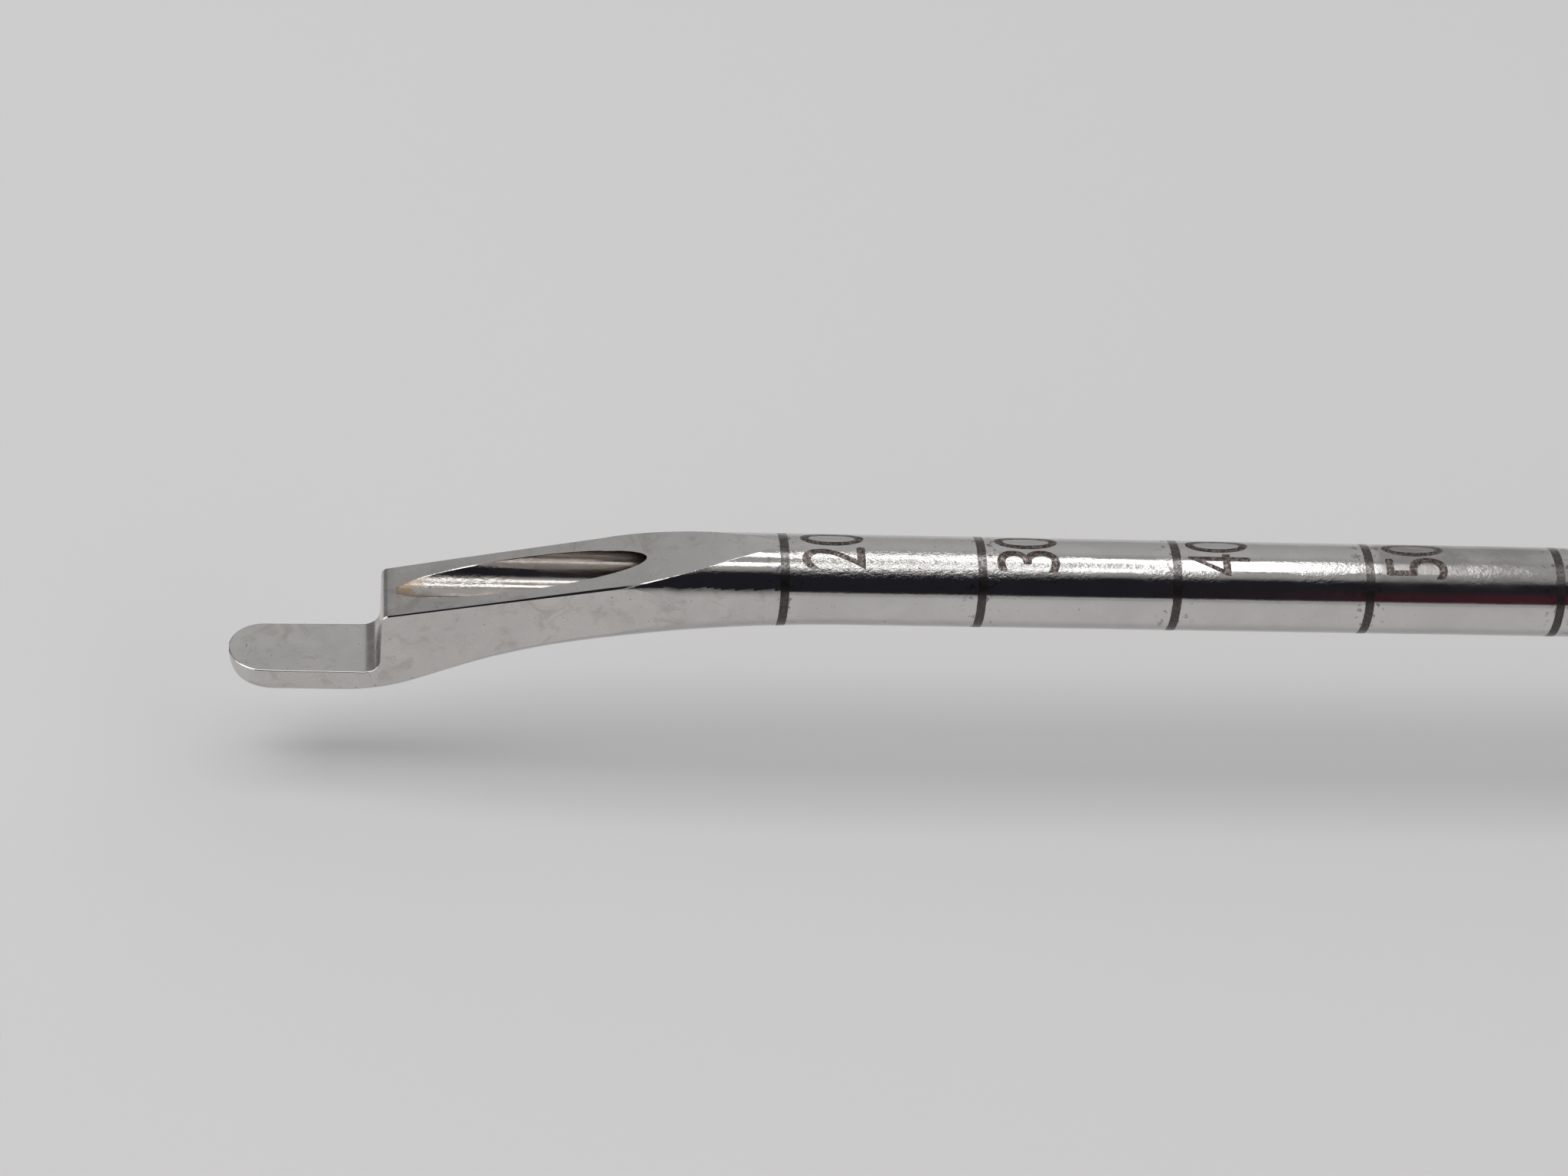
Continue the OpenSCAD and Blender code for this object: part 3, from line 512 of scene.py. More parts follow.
def grip_plastic():
    """Black moulded plastic, rubbed smooth on its lands and dusty in its flutes."""
    m = Finish("grip_plastic", 0.0)
    pebbles = m.noise(3.2, 3, 0.6)
    cloud = m.noise(0.12, 4, 0.6)
    base = m.mix(m.ramp(cloud, 0.3, 0.7), (0.040, 0.040, 0.042), (0.054, 0.053, 0.053))
    depth = m.minus(HALF_W * MM, m.math("ABSOLUTE", m.axis("Y")))
    in_flute = m.ramp(depth, 0.25 * MM, 0.9 * MM)
    dust = m.times(in_flute, m.ramp(m.noise(1.6, 5), 0.35, 0.7))
    flecks = m.ramp(m.noise(4.5, 3, 0.8), 0.68, 0.74, 0, 0.5)
    base = m.mix(m.times(dust, 0.3), base, (0.10, 0.095, 0.088))
    rubbed = m.times(m.ramp(depth, 0.2 * MM, 0.0), m.ramp(cloud, 0.35, 0.65, 0.2, 1.0))
    return m.done(
        m.mix(flecks, base, (0.075, 0.073, 0.070)),
        m.minus(m.ramp(pebbles, 0.3, 0.7, 0.5, 0.66), m.times(rubbed, 0.14)),
        (pebbles, 0.55, 0.04), (m.noise(0.6, 2), 0.15, 0.1))


def knob_finish():
    """Darkened steel of the thumb knob, worn bright at its rim."""
    m = Finish("darkened_knob")
    cloud = m.noise(0.35, 5, 0.65)
    radius = m.radius(m.axis("Y"), m.minus(m.axis("X"), STEP_X + CLAMP_X * MM))
    rim = m.ramp(radius, (KNOB_R - 0.9) * MM, (KNOB_R - 0.1) * MM)
    worn = m.times(rim, m.ramp(m.noise(0.9, 5, 0.7), 0.35, 0.62, 0.1, 0.9))
    base = m.mix(m.ramp(cloud, 0.3, 0.7), (0.40, 0.40, 0.41), (0.31, 0.31, 0.32))
    return m.done(
        m.mix(worn, base, (0.57, 0.565, 0.56)),
        m.minus(m.ramp(cloud, 0.3, 0.7, 0.34, 0.46), m.times(worn, 0.14)),
        (m.noise(6, 3, 0.7), 0.3, 0.02), (m.noise(0.6, 2), 0.1, 0.05))


def spring_wire():
    m = Finish("spring_wire")
    drawn = m.noise(4, 3, 0.7)
    return m.done(
        m.mix(m.ramp(drawn, 0.3, 0.7), (0.36, 0.36, 0.37), (0.46, 0.455, 0.45)),
        m.ramp(m.noise(1.5, 4), 0.3, 0.7, 0.22, 0.38),
        (drawn, 0.2, 0.01))


def braze():
    """Fillet of silver braze, a little yellow and frosted."""
    m = Finish("silver_braze")
    cloud = m.noise(1.2, 4, 0.6)
    return m.done(
        m.mix(m.ramp(cloud, 0.3, 0.7), (0.66, 0.60, 0.46), (0.56, 0.51, 0.42)),
        m.ramp(cloud, 0.3, 0.7, 0.28, 0.42),
        (m.noise(5, 3), 0.3, 0.02))


def pad_plastic():
    m = Finish("pad_plastic", 0.0, 0.45)
    tool_marks = m.noise(6, 2, stretch=(0.2, 0.2, 1))
    cloud = m.noise(0.8, 4)
    return m.done(
        m.mix(m.ramp(cloud, 0.3, 0.7), (0.60, 0.48, 0.32), (0.52, 0.41, 0.27)),
        m.ramp(tool_marks, 0.3, 0.7, 0.42, 0.58),
        (tool_marks, 0.3, 0.02))


def seal_rubber():
    m = Finish("seal_rubber", 0.0, 0.4)
    bloom = m.noise(1.4, 5, 0.65)
    base = m.mix(m.ramp(bloom, 0.45, 0.75), (0.025, 0.025, 0.026), (0.055, 0.054, 0.052))
    return m.done(base, m.ramp(bloom, 0.3, 0.7, 0.48, 0.62), (m.noise(5, 3), 0.2, 0.02))


# --- guide shaft ---

# Where the arcs of the underside begin and end, and where the tongue's round nose does
ramp_x = -BELLY_LEAD + BELLY_R * sin(RAMP_ANGLE)
ramp_len = (
    -UNDER_Z - SHAFT_R - SWEEP_R * (1 - cos(SWEEP_ANGLE))
    - KNEE_R * (cos(SWEEP_ANGLE) - cos(RAMP_ANGLE))
    - BELLY_R * (1 - cos(RAMP_ANGLE))) / sin(RAMP_ANGLE)
knee_x = ramp_x + ramp_len * cos(RAMP_ANGLE)
ramp_z = UNDER_Z + BELLY_R * (1 - cos(RAMP_ANGLE))
knee_z = ramp_z + ramp_len * sin(RAMP_ANGLE)
knee_c = (knee_x + KNEE_R * sin(RAMP_ANGLE), knee_z - KNEE_R * cos(RAMP_ANGLE))
sweep_x = knee_x + KNEE_R * (sin(RAMP_ANGLE) - sin(SWEEP_ANGLE))
heel_x = sweep_x + SWEEP_R * sin(SWEEP_ANGLE)
nose_x = -TONGUE_LEN + SHAFT_R
nose_end = -TONGUE_LEN + TONGUE_R

# Facet, and the arc with which it fades into the top of the shaft
facet_x = (FADE_Z - STEP_Z) / tan(FACET_ANGLE)
fade_len = FADE_R * tan(FACET_ANGLE / 2)
fade_start = facet_x - fade_len * cos(FACET_ANGLE)
fade_c = (facet_x + fade_len, FADE_Z - FADE_R)
fade_end = fade_c[0] - sqrt(FADE_R ** 2 - (SHAFT_R - fade_c[1]) ** 2)
round_z = STEP_Z + STEP_ROUND * (tan(FACET_ANGLE) - 1 / cos(FACET_ANGLE))


def under(x):
    """Height of the underside's lowest line."""
    if x < nose_x:
        return UNDER_Z + SHAFT_R - sqrt(max(0, SHAFT_R ** 2 - (x - nose_x) ** 2))
    if x < -BELLY_LEAD:
        return UNDER_Z
    if x < ramp_x:
        return UNDER_Z + BELLY_R - sqrt(BELLY_R ** 2 - (x + BELLY_LEAD) ** 2)
    if x < knee_x:
        return ramp_z + (x - ramp_x) * tan(RAMP_ANGLE)
    if x < sweep_x:
        return knee_c[1] + sqrt(KNEE_R ** 2 - (x - knee_c[0]) ** 2)
    if x < heel_x:
        return -SHAFT_R - SWEEP_R + sqrt(SWEEP_R ** 2 - (x - heel_x) ** 2)
    return -SHAFT_R


def flat_half(x):
    """Half the width between the ground flats, or the shaft's radius where there are none."""
    if x < nose_end:
        return sqrt(max(0, TONGUE_R ** 2 - (x - nose_end) ** 2))
    if x < FLAT_LEN:
        return lerp(TONGUE_R, FLAT_HALF, (x - nose_end) / (FLAT_LEN - nose_end))
    run = FLAT_RUN_R ** 2 - (x - FLAT_LEN) ** 2
    if run <= 0:
        return SHAFT_R
    return min(SHAFT_R, FLAT_HALF + FLAT_RUN_R - sqrt(run))


def arc(centre, r, start, end, count):
    """Points of an arc in side view, with its first point left out."""
    angles = [radians(lerp(start, end, i / count)) for i in range(1, count + 1)]
    return [(centre[0] + r * cos(a), centre[1] + r * sin(a)) for a in angles]


def line(a, b, count):
    """Points of a straight stretch, with its first point left out."""
    return [(lerp(a[0], b[0], i / count), lerp(a[1], b[1], i / count)) for i in range(1, count + 1)]


def ribs():
    """Pairs of a point in side view, on the top of the tip, and a place along its underside.

    They stand upright along the tongue and the shaft, and fan round the step between them.
    """
    lip_x = nose_x - sqrt(SHAFT_R ** 2 - (UNDER_Z + SHAFT_R - TONGUE_Z) ** 2)
    nose = [lerp(nose_end, lip_x + 0.004, sin(radians(90 * i / 18)))
            for i in range(18, 0, -1)]
    fan_start, fan_end = -1.2, 6.0
    upright = nose + [lerp(nose_end, fan_start, i / 16) for i in range(17)]
    pairs = [((x, TONGUE_Z), x) for x in upright]

    facet_at = lambda x: (x, STEP_Z + x * tan(FACET_ANGLE))
    round_c = (STEP_ROUND, round_z)
    top = [(fan_start, TONGUE_Z)]
    top += line(top[-1], (-STEP_FILLET, TONGUE_Z), 3)
    top += arc((-STEP_FILLET, TONGUE_Z + STEP_FILLET), STEP_FILLET, -90, 0, 12)
    top += line(top[-1], (0, round_z), 8)
    top += arc(round_c, STEP_ROUND, 180, 90 + degrees(FACET_ANGLE), 10)
    top += line(top[-1], facet_at(fan_end), 14)
    steps = [dist(a, b) for a, b in zip(top, top[1:])]
    for i in range(1, len(top)):
        share = sum(steps[:i]) / sum(steps)
        pairs.append((top[i], lerp(fan_start, fan_end, share)))

    for x in (lerp(fan_end, fade_start, i / 14) for i in range(1, 15)):
        pairs.append((facet_at(x), x))
    for i in range(1, 17):
        x = lerp(fade_start, fade_end, sin(radians(90 * i / 16)))
        z = fade_c[1] + sqrt(FADE_R ** 2 - (x - fade_c[0]) ** 2)
        pairs.append(((x, min(z, SHAFT_R)), x))
    straight = [lerp(fade_end, heel_x, i / 6) for i in range(1, 7)]
    for x in straight + [heel_x + 20, HUB_X / 2, SPIGOT_END]:
        pairs.append(((x, SHAFT_R), x))
    return pairs


def rib_ring(top, low_x):
    """One side of a rib's section: half its top, the broken edge, and down."""
    n_top, n_upper, n_flat, n_lower = 6, 24, 6, 26
    low_z = under(low_x)
    length = dist(top, (low_x, low_z))
    point = lambda f: (lerp(low_x, top[0], f), lerp(low_z, top[1], f))

    def lowest_share(height):
        """Share of the rib at which it reaches a height that depends on x."""
        a, b = 0.0, 1.0
        for _ in range(40):
            f = (a + b) / 2
            x, z = point(f)
            a, b = (f, b) if z < height(x) else (a, f)
        return (a + b) / 2

    half = flat_half(top[0])
    flat_top = sqrt(max(0, SHAFT_R ** 2 - half ** 2))
    on_round = top[1] > flat_top
    edge = sqrt(SHAFT_R ** 2 - min(SHAFT_R, top[1]) ** 2) if on_round else half
    # The rounding swells towards the round part, and fades along it
    swell = min(1, max(0, (top[0] - 4) / 7)) * 0.6 - min(1, max(0, (top[0] - 11.5) / 2)) * 1.2
    full_r = EDGE_R * (1 + swell if top[0] > 0 else 0.7)
    edge_r = full_r * min(1, edge / SHAFT_R * 1.1) ** 2 if on_round else full_r
    edge_r = min(edge_r, 0.7 * length)
    inner = max(0, edge - edge_r)
    if top[0] < nose_end:
        inner = min(edge, sqrt(max(0, (TONGUE_R - full_r) ** 2 - (top[0] - nose_end) ** 2)))
    start = 1 - edge_r / length
    side_x, side_z = point(start)
    outer = sqrt(max(0, SHAFT_R ** 2 - side_z ** 2)) if side_z > flat_top else flat_half(side_x)
    side = [(top[0], inner * i / n_top, top[1]) for i in range(n_top)]
    # The broken edge is a curve from the top over its corner to the side
    for t in (0, 0.12, 0.24, 0.8) if top[0] > 0 else (0, 0.30, 0.46, 0.8):
        a, b, c = (1 - t) ** 2, 2 * t * (1 - t), t * t
        side.append(((a + b) * top[0] + c * side_x, a * inner + b * edge + c * outer,
                     (a + b) * top[1] + c * side_z))
    # Upper round, from the edge of the facet down to the flat
    if side_z > flat_top:
        a0, a1 = asin(side_z / SHAFT_R), asin(flat_top / SHAFT_R)
        for i in range(n_upper):
            a = lerp(a0, a1, i / n_upper)
            side.append((top[0], SHAFT_R * cos(a), SHAFT_R * sin(a)))
        start = (flat_top - low_z) / (top[1] - low_z)
    else:
        side += [(side_x, outer, side_z)] * n_upper
    # Ground flat, down to the lower round
    lower = lambda drop: lowest_share(lambda x: under(x) + SHAFT_R - drop(x))
    end = min(start, lower(lambda x: sqrt(max(0, SHAFT_R ** 2 - flat_half(x) ** 2))))
    for i in range(n_flat):
        x, z = point(lerp(start, end, i / n_flat))
        side.append((x, flat_half(x), z))
    x = point(end)[0]
    a0 = asin(min(1, flat_half(x) / SHAFT_R))
    for i in range(n_lower + 1):
        a = lerp(a0, 0, i / n_lower)
        f = lower(lambda _, a=a: SHAFT_R * cos(a)) if i < n_lower else 0
        x, z = point(f)
        side.append((x, SHAFT_R * sin(a) if i else flat_half(x), z))
    return side


def shaft_mesh():
    bm = bmesh.new()
    previous = None
    for top, low_x in ribs():
        half = rib_ring(top, low_x)
        outline = half + [(x, -y, z) for x, y, z in half[-2:0:-1]]
        ring = bmesh.ops.create_circle(bm, segments=len(outline), radius=1)["verts"]
        for vert, co in zip(ring, outline):
            vert.co = co
        edges = list(dict.fromkeys(e for v in ring for e in v.link_edges))
        if previous is None:
            bm.faces.new(ring)
        else:
            bmesh.ops.bridge_loops(bm, edges=previous + edges)
        previous = edges
    bmesh.ops.contextual_create(bm, geom=previous)
    return clean(bm)


def guide_shaft():
    bore = rod(-2, SPIGOT_END + 2, BORE_R, steps=128)
    bm = joined(shaft_mesh(), [bore])
    on_rim = lambda v: v.co.x < 14 and abs(hypot(v.co.y, v.co.z) - BORE_R) < 0.004
    rim = [e for e in bm.edges if len(e.link_faces) == 2 and all(on_rim(v) for v in e.verts)
           and e.calc_face_angle() > radians(18)]
    bmesh.ops.bevel(
        bm, geom=rim, offset=0.03, affect="EDGES", segments=1, profile=0.5, material=-1)
    # Bore wall, then the ground flats and the tongue; the rest stays polished
    for face in bm.faces:
        centre = face.calc_center_median()
        radial = hypot(centre.y, centre.z)
        if radial < BORE_R + 0.01 and face.normal.y * centre.y + face.normal.z * centre.z < 0:
            face.material_index = 2
        elif centre.x < fade_end and (abs(face.normal.y) < 0.05 or abs(face.normal.y) > 0.9):
            face.material_index = 1
    finishes = [
        steel("polished_shaft", 0.07, grain=0.1, ripple=0.7, rings=True),
        steel("ground_tip", 0.24, color=(0.63, 0.615, 0.595), grain=0.15, stain=0.35),
        steel("bore_wall", 0.13, color=(0.60, 0.565, 0.54), ripple=0.8, stain=0.4, rust=True),
    ]
    stand_in("guide_shaft", bm, "shaft_steel", *finishes, sharp_deg=9)


guide_shaft()


# Height of the font's digits, as a share of its size
DIGIT_SHARE = 0.729


def numeral(value, start):
    """Depth in mm, burnt across the top of the shaft from some way behind its ring.

    It is sunk by bite and stands out by skin.
    """
    height, digit_w, gap, turn, bite, skin = 3.22, 1.27, 0.11, -0.054, 0.004, 0.006
    bm = bmesh.new()
    digits = str(value)
    for i, digit in enumerate(digits):
        text = bpy.data.curves.new("digit", "FONT")
        text.body = digit
        text.size = height / DIGIT_SHARE
        source = bpy.data.objects.new("digit", text)
        before = set(bm.verts)
        bm.from_mesh(source.to_mesh())
        bpy.data.objects.remove(source)
        new = [v for v in bm.verts if v not in before]
        # The corners of a stroke's ends are rounded, once the faces between them are one
        corners = [v for v in new if sum(c.calc_angle() for c in v.link_loops) < radians(125)]
        inner = dict.fromkeys(e for v in new for e in v.link_edges if len(e.link_faces) == 2)
        bmesh.ops.dissolve_limit(bm, angle_limit=0.01, verts=[], edges=list(inner))
        bmesh.ops.bevel(
            bm, geom=[v for v in corners if v.is_valid and len(v.link_edges) == 2], offset=0.13,
            affect="VERTICES", segments=4, profile=0.5, material=-1)
        new = [v for v in bm.verts if v not in before]
        low = [min(v.co[k] for v in new) for k in (0, 1)]
        high = [max(v.co[k] for v in new) for k in (0, 1)]
        width = digit_w * (0.55 if digit == "1" else 1)
        centre = (i - (len(digits) - 1) / 2) * (digit_w + gap)
        for v in new:
            v.co.x = centre + lerp(-width / 2, width / 2, (v.co.x - low[0]) / (high[0] - low[0]))
            v.co.y = lerp(0, height, (v.co.y - low[1]) / (high[1] - low[1]))
    bmesh.ops.triangulate(bm, faces=bm.faces[:])
    # Narrow strips, so that the flat digits can bend round the shaft
    wide, strips = len(digits) * (digit_w + gap), 48
    for i in range(1, strips):
        bmesh.ops.bisect_plane(
            bm, geom=everything(bm), dist=0.0005,
            plane_co=(lerp(-wide / 2, wide / 2, i / strips), 0, 0), plane_no=(1, 0, 0))
    bmesh.ops.triangulate(bm, faces=[f for f in bm.faces if len(f.verts) > 4])
    bmesh.ops.remove_doubles(bm, verts=bm.verts, dist=0.001)
    bmesh.ops.dissolve_degenerate(bm, edges=bm.edges, dist=0.0001)
    bmesh.ops.solidify(bm, geom=bm.faces[:], thickness=bite + skin)
    outward(bm)
    base = min(v.co.z for v in bm.verts)
    for v in bm.verts:
        r = SHAFT_R - bite + (v.co.z - base)
        angle = turn + v.co.x / SHAFT_R
        v.co = (value + start + height - v.co.y, r * sin(angle), r * cos(angle))
    fit(f"numeral_{value}", bm, "handle", "shaft_steel", mark_finish)


mark_finish = laser_mark()
for depth in range(FIRST_RING, LAST_RING + 1, RING_PITCH):
    numeral(depth, {30: 0.75, 40: 0.6}.get(depth, 0.85))


# --- hub and lock ---

def shaft_hub():
    """Cone and spigot, with the balls' and the seal's grooves and the key's hole."""
    cone_end, ball_floor = HUB_X + 6, SPIGOT_R - 0.55
    bm = turned([
        (HUB_BORE_R, HUB_X), (3, HUB_X), (BARREL_R - 0.5, cone_end), (BARREL_R, cone_end + 0.5),
        (BARREL_R, CORE_X), (SPIGOT_R, CORE_X),
        (SPIGOT_R, BALL_X - 1.4), (ball_floor, BALL_X - 0.6), (ball_floor, BALL_X + 0.6),
        (SPIGOT_R, BALL_X + 1.4),
        *seal_groove(SPIGOT_R, SPIGOT_END - 3), (SPIGOT_R, SPIGOT_END), (HUB_BORE_R, SPIGOT_END),
    ])
    bm = joined(bm, [post(KEY_X, -SPIGOT_R - 1, KEY_TOP, KEY_R)])
    stand_in("shaft_hub", bm, "handle_steel", satin)
    fillet = turned([
        (SHAFT_R + 0.01, HUB_X - 0.55), (SHAFT_R + 0.1, HUB_X - 0.4),
        (SHAFT_R + 0.3, HUB_X - 0.16), (2.95, HUB_X - 0.02), (2.95, HUB_X + 0.02),
        (SHAFT_R + 0.01, HUB_X + 0.02),
    ], edge=0)
    fit("hub_braze", fillet, "handle", "bright_steel", braze())


def retaining_ring():
    """Split ring round the barrel, with its gap below and its ends rounded."""
    inner, outer, edge = BARREL_R - 0.55, span("retaining_ring", 1)[1], 0.1
    x0, x1 = span("retaining_ring")
    gap = 3
    half_gap = asin(gap / (inner + outer))
    bm = bmesh.new()
    section = [(x0 + edge, inner), (x1 - edge, inner), (x1, inner + edge), (x1, outer - edge),
               (x1 - edge, outer), (x0 + edge, outer), (x0, outer - edge), (x0, inner + edge)]
    bm.faces.new([bm.verts.new((x, 0, -r)) for x, r in section])
    bmesh.ops.rotate(bm, cent=(0, 0, 0), matrix=Matrix.Rotation(half_gap, 3, "X"), verts=bm.verts)
    bmesh.ops.spin(
        bm, geom=everything(bm), cent=(0, 0, 0), axis=(1, 0, 0),
        dvec=(0, 0, 0), angle=2 * (pi - half_gap), steps=96)
    clean(bm)
    at_an_end = lambda e: abs(e.verts[0].co.x - e.verts[1].co.x) > 0.5
    break_edges(bm, 0.3, at_an_end, angle=60, segments=4)
    clean(bm)
    stand_in("retaining_ring", bm, "spring_steel", wire)


def lock_collar():
    """Sleeve with finger grooves, which rides back over the neck."""
    count, depth = 5, 0.6
    pitch = (COLLAR_END - COLLAR_X) / (count + 1)
    groove = pitch / 5
    floor_r = COLLAR_R - depth
    grooves = []
    for i in range(1, count + 1):
        x = COLLAR_X + i * pitch
        grooves += [(COLLAR_R, x - 2 * groove), (floor_r, x - groove), (floor_r, x + groove),
                    (COLLAR_R, x + 2 * groove)]
    land_x, pocket_x = SPRING_X - 2.05, SPRING_X - 0.05
    ramp_r = COLLAR_BORE_R + BALL_SLOPE * (land_x - COLLAR_X)
    bm = turned(
        [(ramp_r, COLLAR_X), (floor_r, COLLAR_X), (COLLAR_R, COLLAR_X + depth)] + grooves
        + [(COLLAR_R, COLLAR_END - depth), (floor_r, COLLAR_END), (NECK_BORE_R, COLLAR_END),
           (NECK_BORE_R, pocket_x), (COLLAR_FLAT, pocket_x), (COLLAR_FLAT, land_x),
           (COLLAR_BORE_R, land_x)],
        edge=0.22, steps=128)
    # The land behind the ramp keeps two flats, which stop the collar from turning
    between_flats = box((land_x - 2, -COLLAR_FLAT, -10), (pocket_x + 2, COLLAR_FLAT, 10))
    land = rod(land_x - 1, pocket_x + 1, COLLAR_BORE_R, steps=96)
    bm = joined(bm, [joined(land, [between_flats], "INTERSECT")])
    stand_in("lock_collar", bm, "collar_steel", blasted_steel(), body="collar")


def collar_spring():
    """Coil spring with closed, ground ends."""
    wire_r, ground, open_turns = 0.4, 0.12, 4
    mean_r = (BARREL_R + NECK_BORE_R) / 2
    length = SPRING_END - SPRING_X
    bm = bmesh.new()
    start = Matrix.Translation((SPRING_X + ground, 0, mean_r)) @ Matrix.Rotation(pi / 2, 4, "X")
    bmesh.ops.create_circle(bm, segments=12, radius=wire_r, matrix=start, cap_ends=True)
    geom = everything(bm)
    closed_pitch = 2 * wire_r
    open_pitch = (length - 2 * ground - 2 * closed_pitch) / open_turns
    for turns, pitch in ((1, closed_pitch), (open_turns, open_pitch), (1, closed_pitch)):
        steps = 40 * turns
        made = bmesh.ops.spin(
            bm, geom=geom, cent=(0, 0, 0), axis=(1, 0, 0), dvec=(pitch * turns / steps, 0, 0),
            angle=2 * pi * turns, steps=steps)
        geom = made["geom_last"]
    clean(bm)
    for x, out in ((SPRING_X, -1), (SPRING_END, 1)):
        cut = bmesh.ops.bisect_plane(
            bm, geom=everything(bm), plane_co=(x, 0, 0),
            plane_no=(out, 0, 0), clear_outer=True)["geom_cut"]
        rim = [e for e in cut if isinstance(e, bmesh.types.BMEdge)]
        bmesh.ops.holes_fill(bm, edges=rim, sides=0)
    piece = stand_in("collar_spring", outward(bm), "spring_steel", wire)
    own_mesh(piece)


# --- handle ---

def block(x0, x1, r, chamfer=1):
    """Round above and below, and flat at the sides."""
    bm = plug([(0, x0), (r - chamfer, x0), (r, x0 + chamfer), (r, x1 - chamfer), (r - chamfer, x1),
               (0, x1)], steps=128)
    bm = joined(bm, [box((x0 - 1, -HALF_W, -20), (x1 + 1, HALF_W, 20))], "INTERSECT")
    return break_edges(bm, 0.3, angle=18, segments=3)


def handle_core():
    """Barrel, neck, bolster, tang and rear boss in one, with their bores and seats."""
    neck_x, bolster_x = SPRING_END + 0.05, GRIP_X - 4
    ring_x0, ring_x1, ring_floor = RING_X - 0.05, RING_X + 1, BARREL_R - 0.6
    front = turned(stepped(
        CORE_X, (BARREL_R, ring_x0), (ring_floor, ring_x1), (BARREL_R, neck_x),
        (NECK_R, bolster_x + 1)), closed=False)
    tang = break_edges(
        box((GRIP_X - 1, -TANG_HALF, 0.5 - HALF_H), (BOSS_X + 1, TANG_HALF, HALF_H - 0.5)), 0.3)
    bm = joined(front, [block(bolster_x, GRIP_X, 11.5), tang, block(BOSS_X, BOSS_END, 11)], "UNION")
    key_slot = KEY_R + SLACK
    clamp_seat_r = 6
    cuts = [
        # Socket and its mouth, channel, and the cap's bore
        rod(CORE_X - 1, SPIGOT_END + 0.5, SPIGOT_R + 0.03, steps=96),
        plug([(0, CORE_X - 0.1), (SPIGOT_R + 0.5, CORE_X - 0.1), (SPIGOT_R, CORE_X + 0.4),
              (0, CORE_X + 0.4)]),
        rod(SPIGOT_END - 1, BOSS_END + 1, CHANNEL_R),
        rod(CAP_FRONT - 0.5, BOSS_END + 1, CAP_R + SLACK),
        # Slot of the key
        box((CORE_X - 1, -key_slot, -SPIGOT_R - 0.95), (KEY_X + key_slot, key_slot, KEY_TOP)),
        # Stepped bore for the pad, the threaded bush and the bush's flange
        plug(stepped(0.9, (1.95, 4.5), (4, 9.5), (clamp_seat_r, 12)), "Z", (CLAMP_X, 0, 0)),
    ]
    for low_y, high_y in ((-8, SLACK - COLLAR_FLAT), (COLLAR_FLAT - SLACK, 8)):
        cuts.append(box((SPRING_X - 2.25, low_y, -7), (neck_x, high_y, 7)))
    # Holes of the balls, each narrower at the socket, so that no ball falls in
    for i in range(3):
        hole = plug(stepped(3, (1.4, 4.4), (1.55, BARREL_R + 1)), "Z", (BALL_X, 0, 0), 64)
        turn = Matrix.Rotation(radians(120 * i), 3, "X") @ Matrix.Rotation(0.03, 3, "Z")
        bmesh.ops.rotate(hole, cent=(BALL_X, 0, 0), matrix=turn, verts=hole.verts)
        cuts.append(hole)
    cuts += [across(x, z, -8, 8, SLEEVE_R + SLACK) for x, _, z in SCREW_PLACES]
    bm = joined(bm, cuts)
    on_seat = lambda v: (
        abs(hypot(v.co.x - CLAMP_X, v.co.y) - clamp_seat_r) < 0.01 and v.co.z > 9.8)
    break_edges(bm, 0.25, lambda e: all(on_seat(v) for v in e.verts), angle=30)
    stand_in("handle_core", bm, "handle_steel", satin)


def scale():
    """Grip scale at +Y, with flutes across it, before its screw holes."""
    bm = box((GRIP_X, TANG_HALF, -HALF_H), (BOSS_X, HALF_W, HALF_H))
    outer_long = lambda e: (all(v.co.y > HALF_W - 0.01 for v in e.verts)
                            and abs(e.verts[0].co.z - e.verts[1].co.z) < 0.01)
    break_edges(bm, 4, outer_long, segments=12)
    outline = box((GRIP_X, TANG_HALF - 2, -HALF_H), (BOSS_X, HALF_W + 2, HALF_H))
    break_edges(outline, 3, lambda e: abs(e.verts[0].co.y - e.verts[1].co.y) > 1, segments=8)
    bm = joined(bm, [outline], "INTERSECT")
    count, margin, flute_r, depth = 9, 13, 3.4, 0.9
    pitch = (BOSS_X - GRIP_X - 2 * margin) / (count - 1)
    bm = joined(bm, [
        post(GRIP_X + margin + i * pitch, -13, 13, flute_r, HALF_W + flute_r - depth)
        for i in range(count)])
    off_tang = lambda e: any(v.co.y > TANG_HALF + 0.05 for v in e.verts)
    return break_edges(bm, 0.4, off_tang, angle=14, segments=3)


def grips():
    """Both scales, the left one round the screws and the right one round the sleeve nuts."""
    plastic = grip_plastic()
    seat_r, mouth_r = HEAD_R + SLACK, 3.3
    for node, shank_r in (("grip_left", SCREW_R), ("grip_right", SLEEVE_R)):
        hole_r = shank_r + SLACK
        section = [(0, 0), (hole_r, 0), (hole_r, HEAD_SEAT), (seat_r, HEAD_SEAT),
                   (seat_r, HEAD_FACE), (mouth_r, HALF_W + 0.15), (mouth_r, HALF_W + 1),
                   (0, HALF_W + 1)]
        bm = joined(scale(), [plug(section, "Y", spot, 64) for spot in SCREW_PLACES])
        if node == "grip_left":
            mirrored(bm)
        stand_in(node, bm, "grip_polymer", plastic)


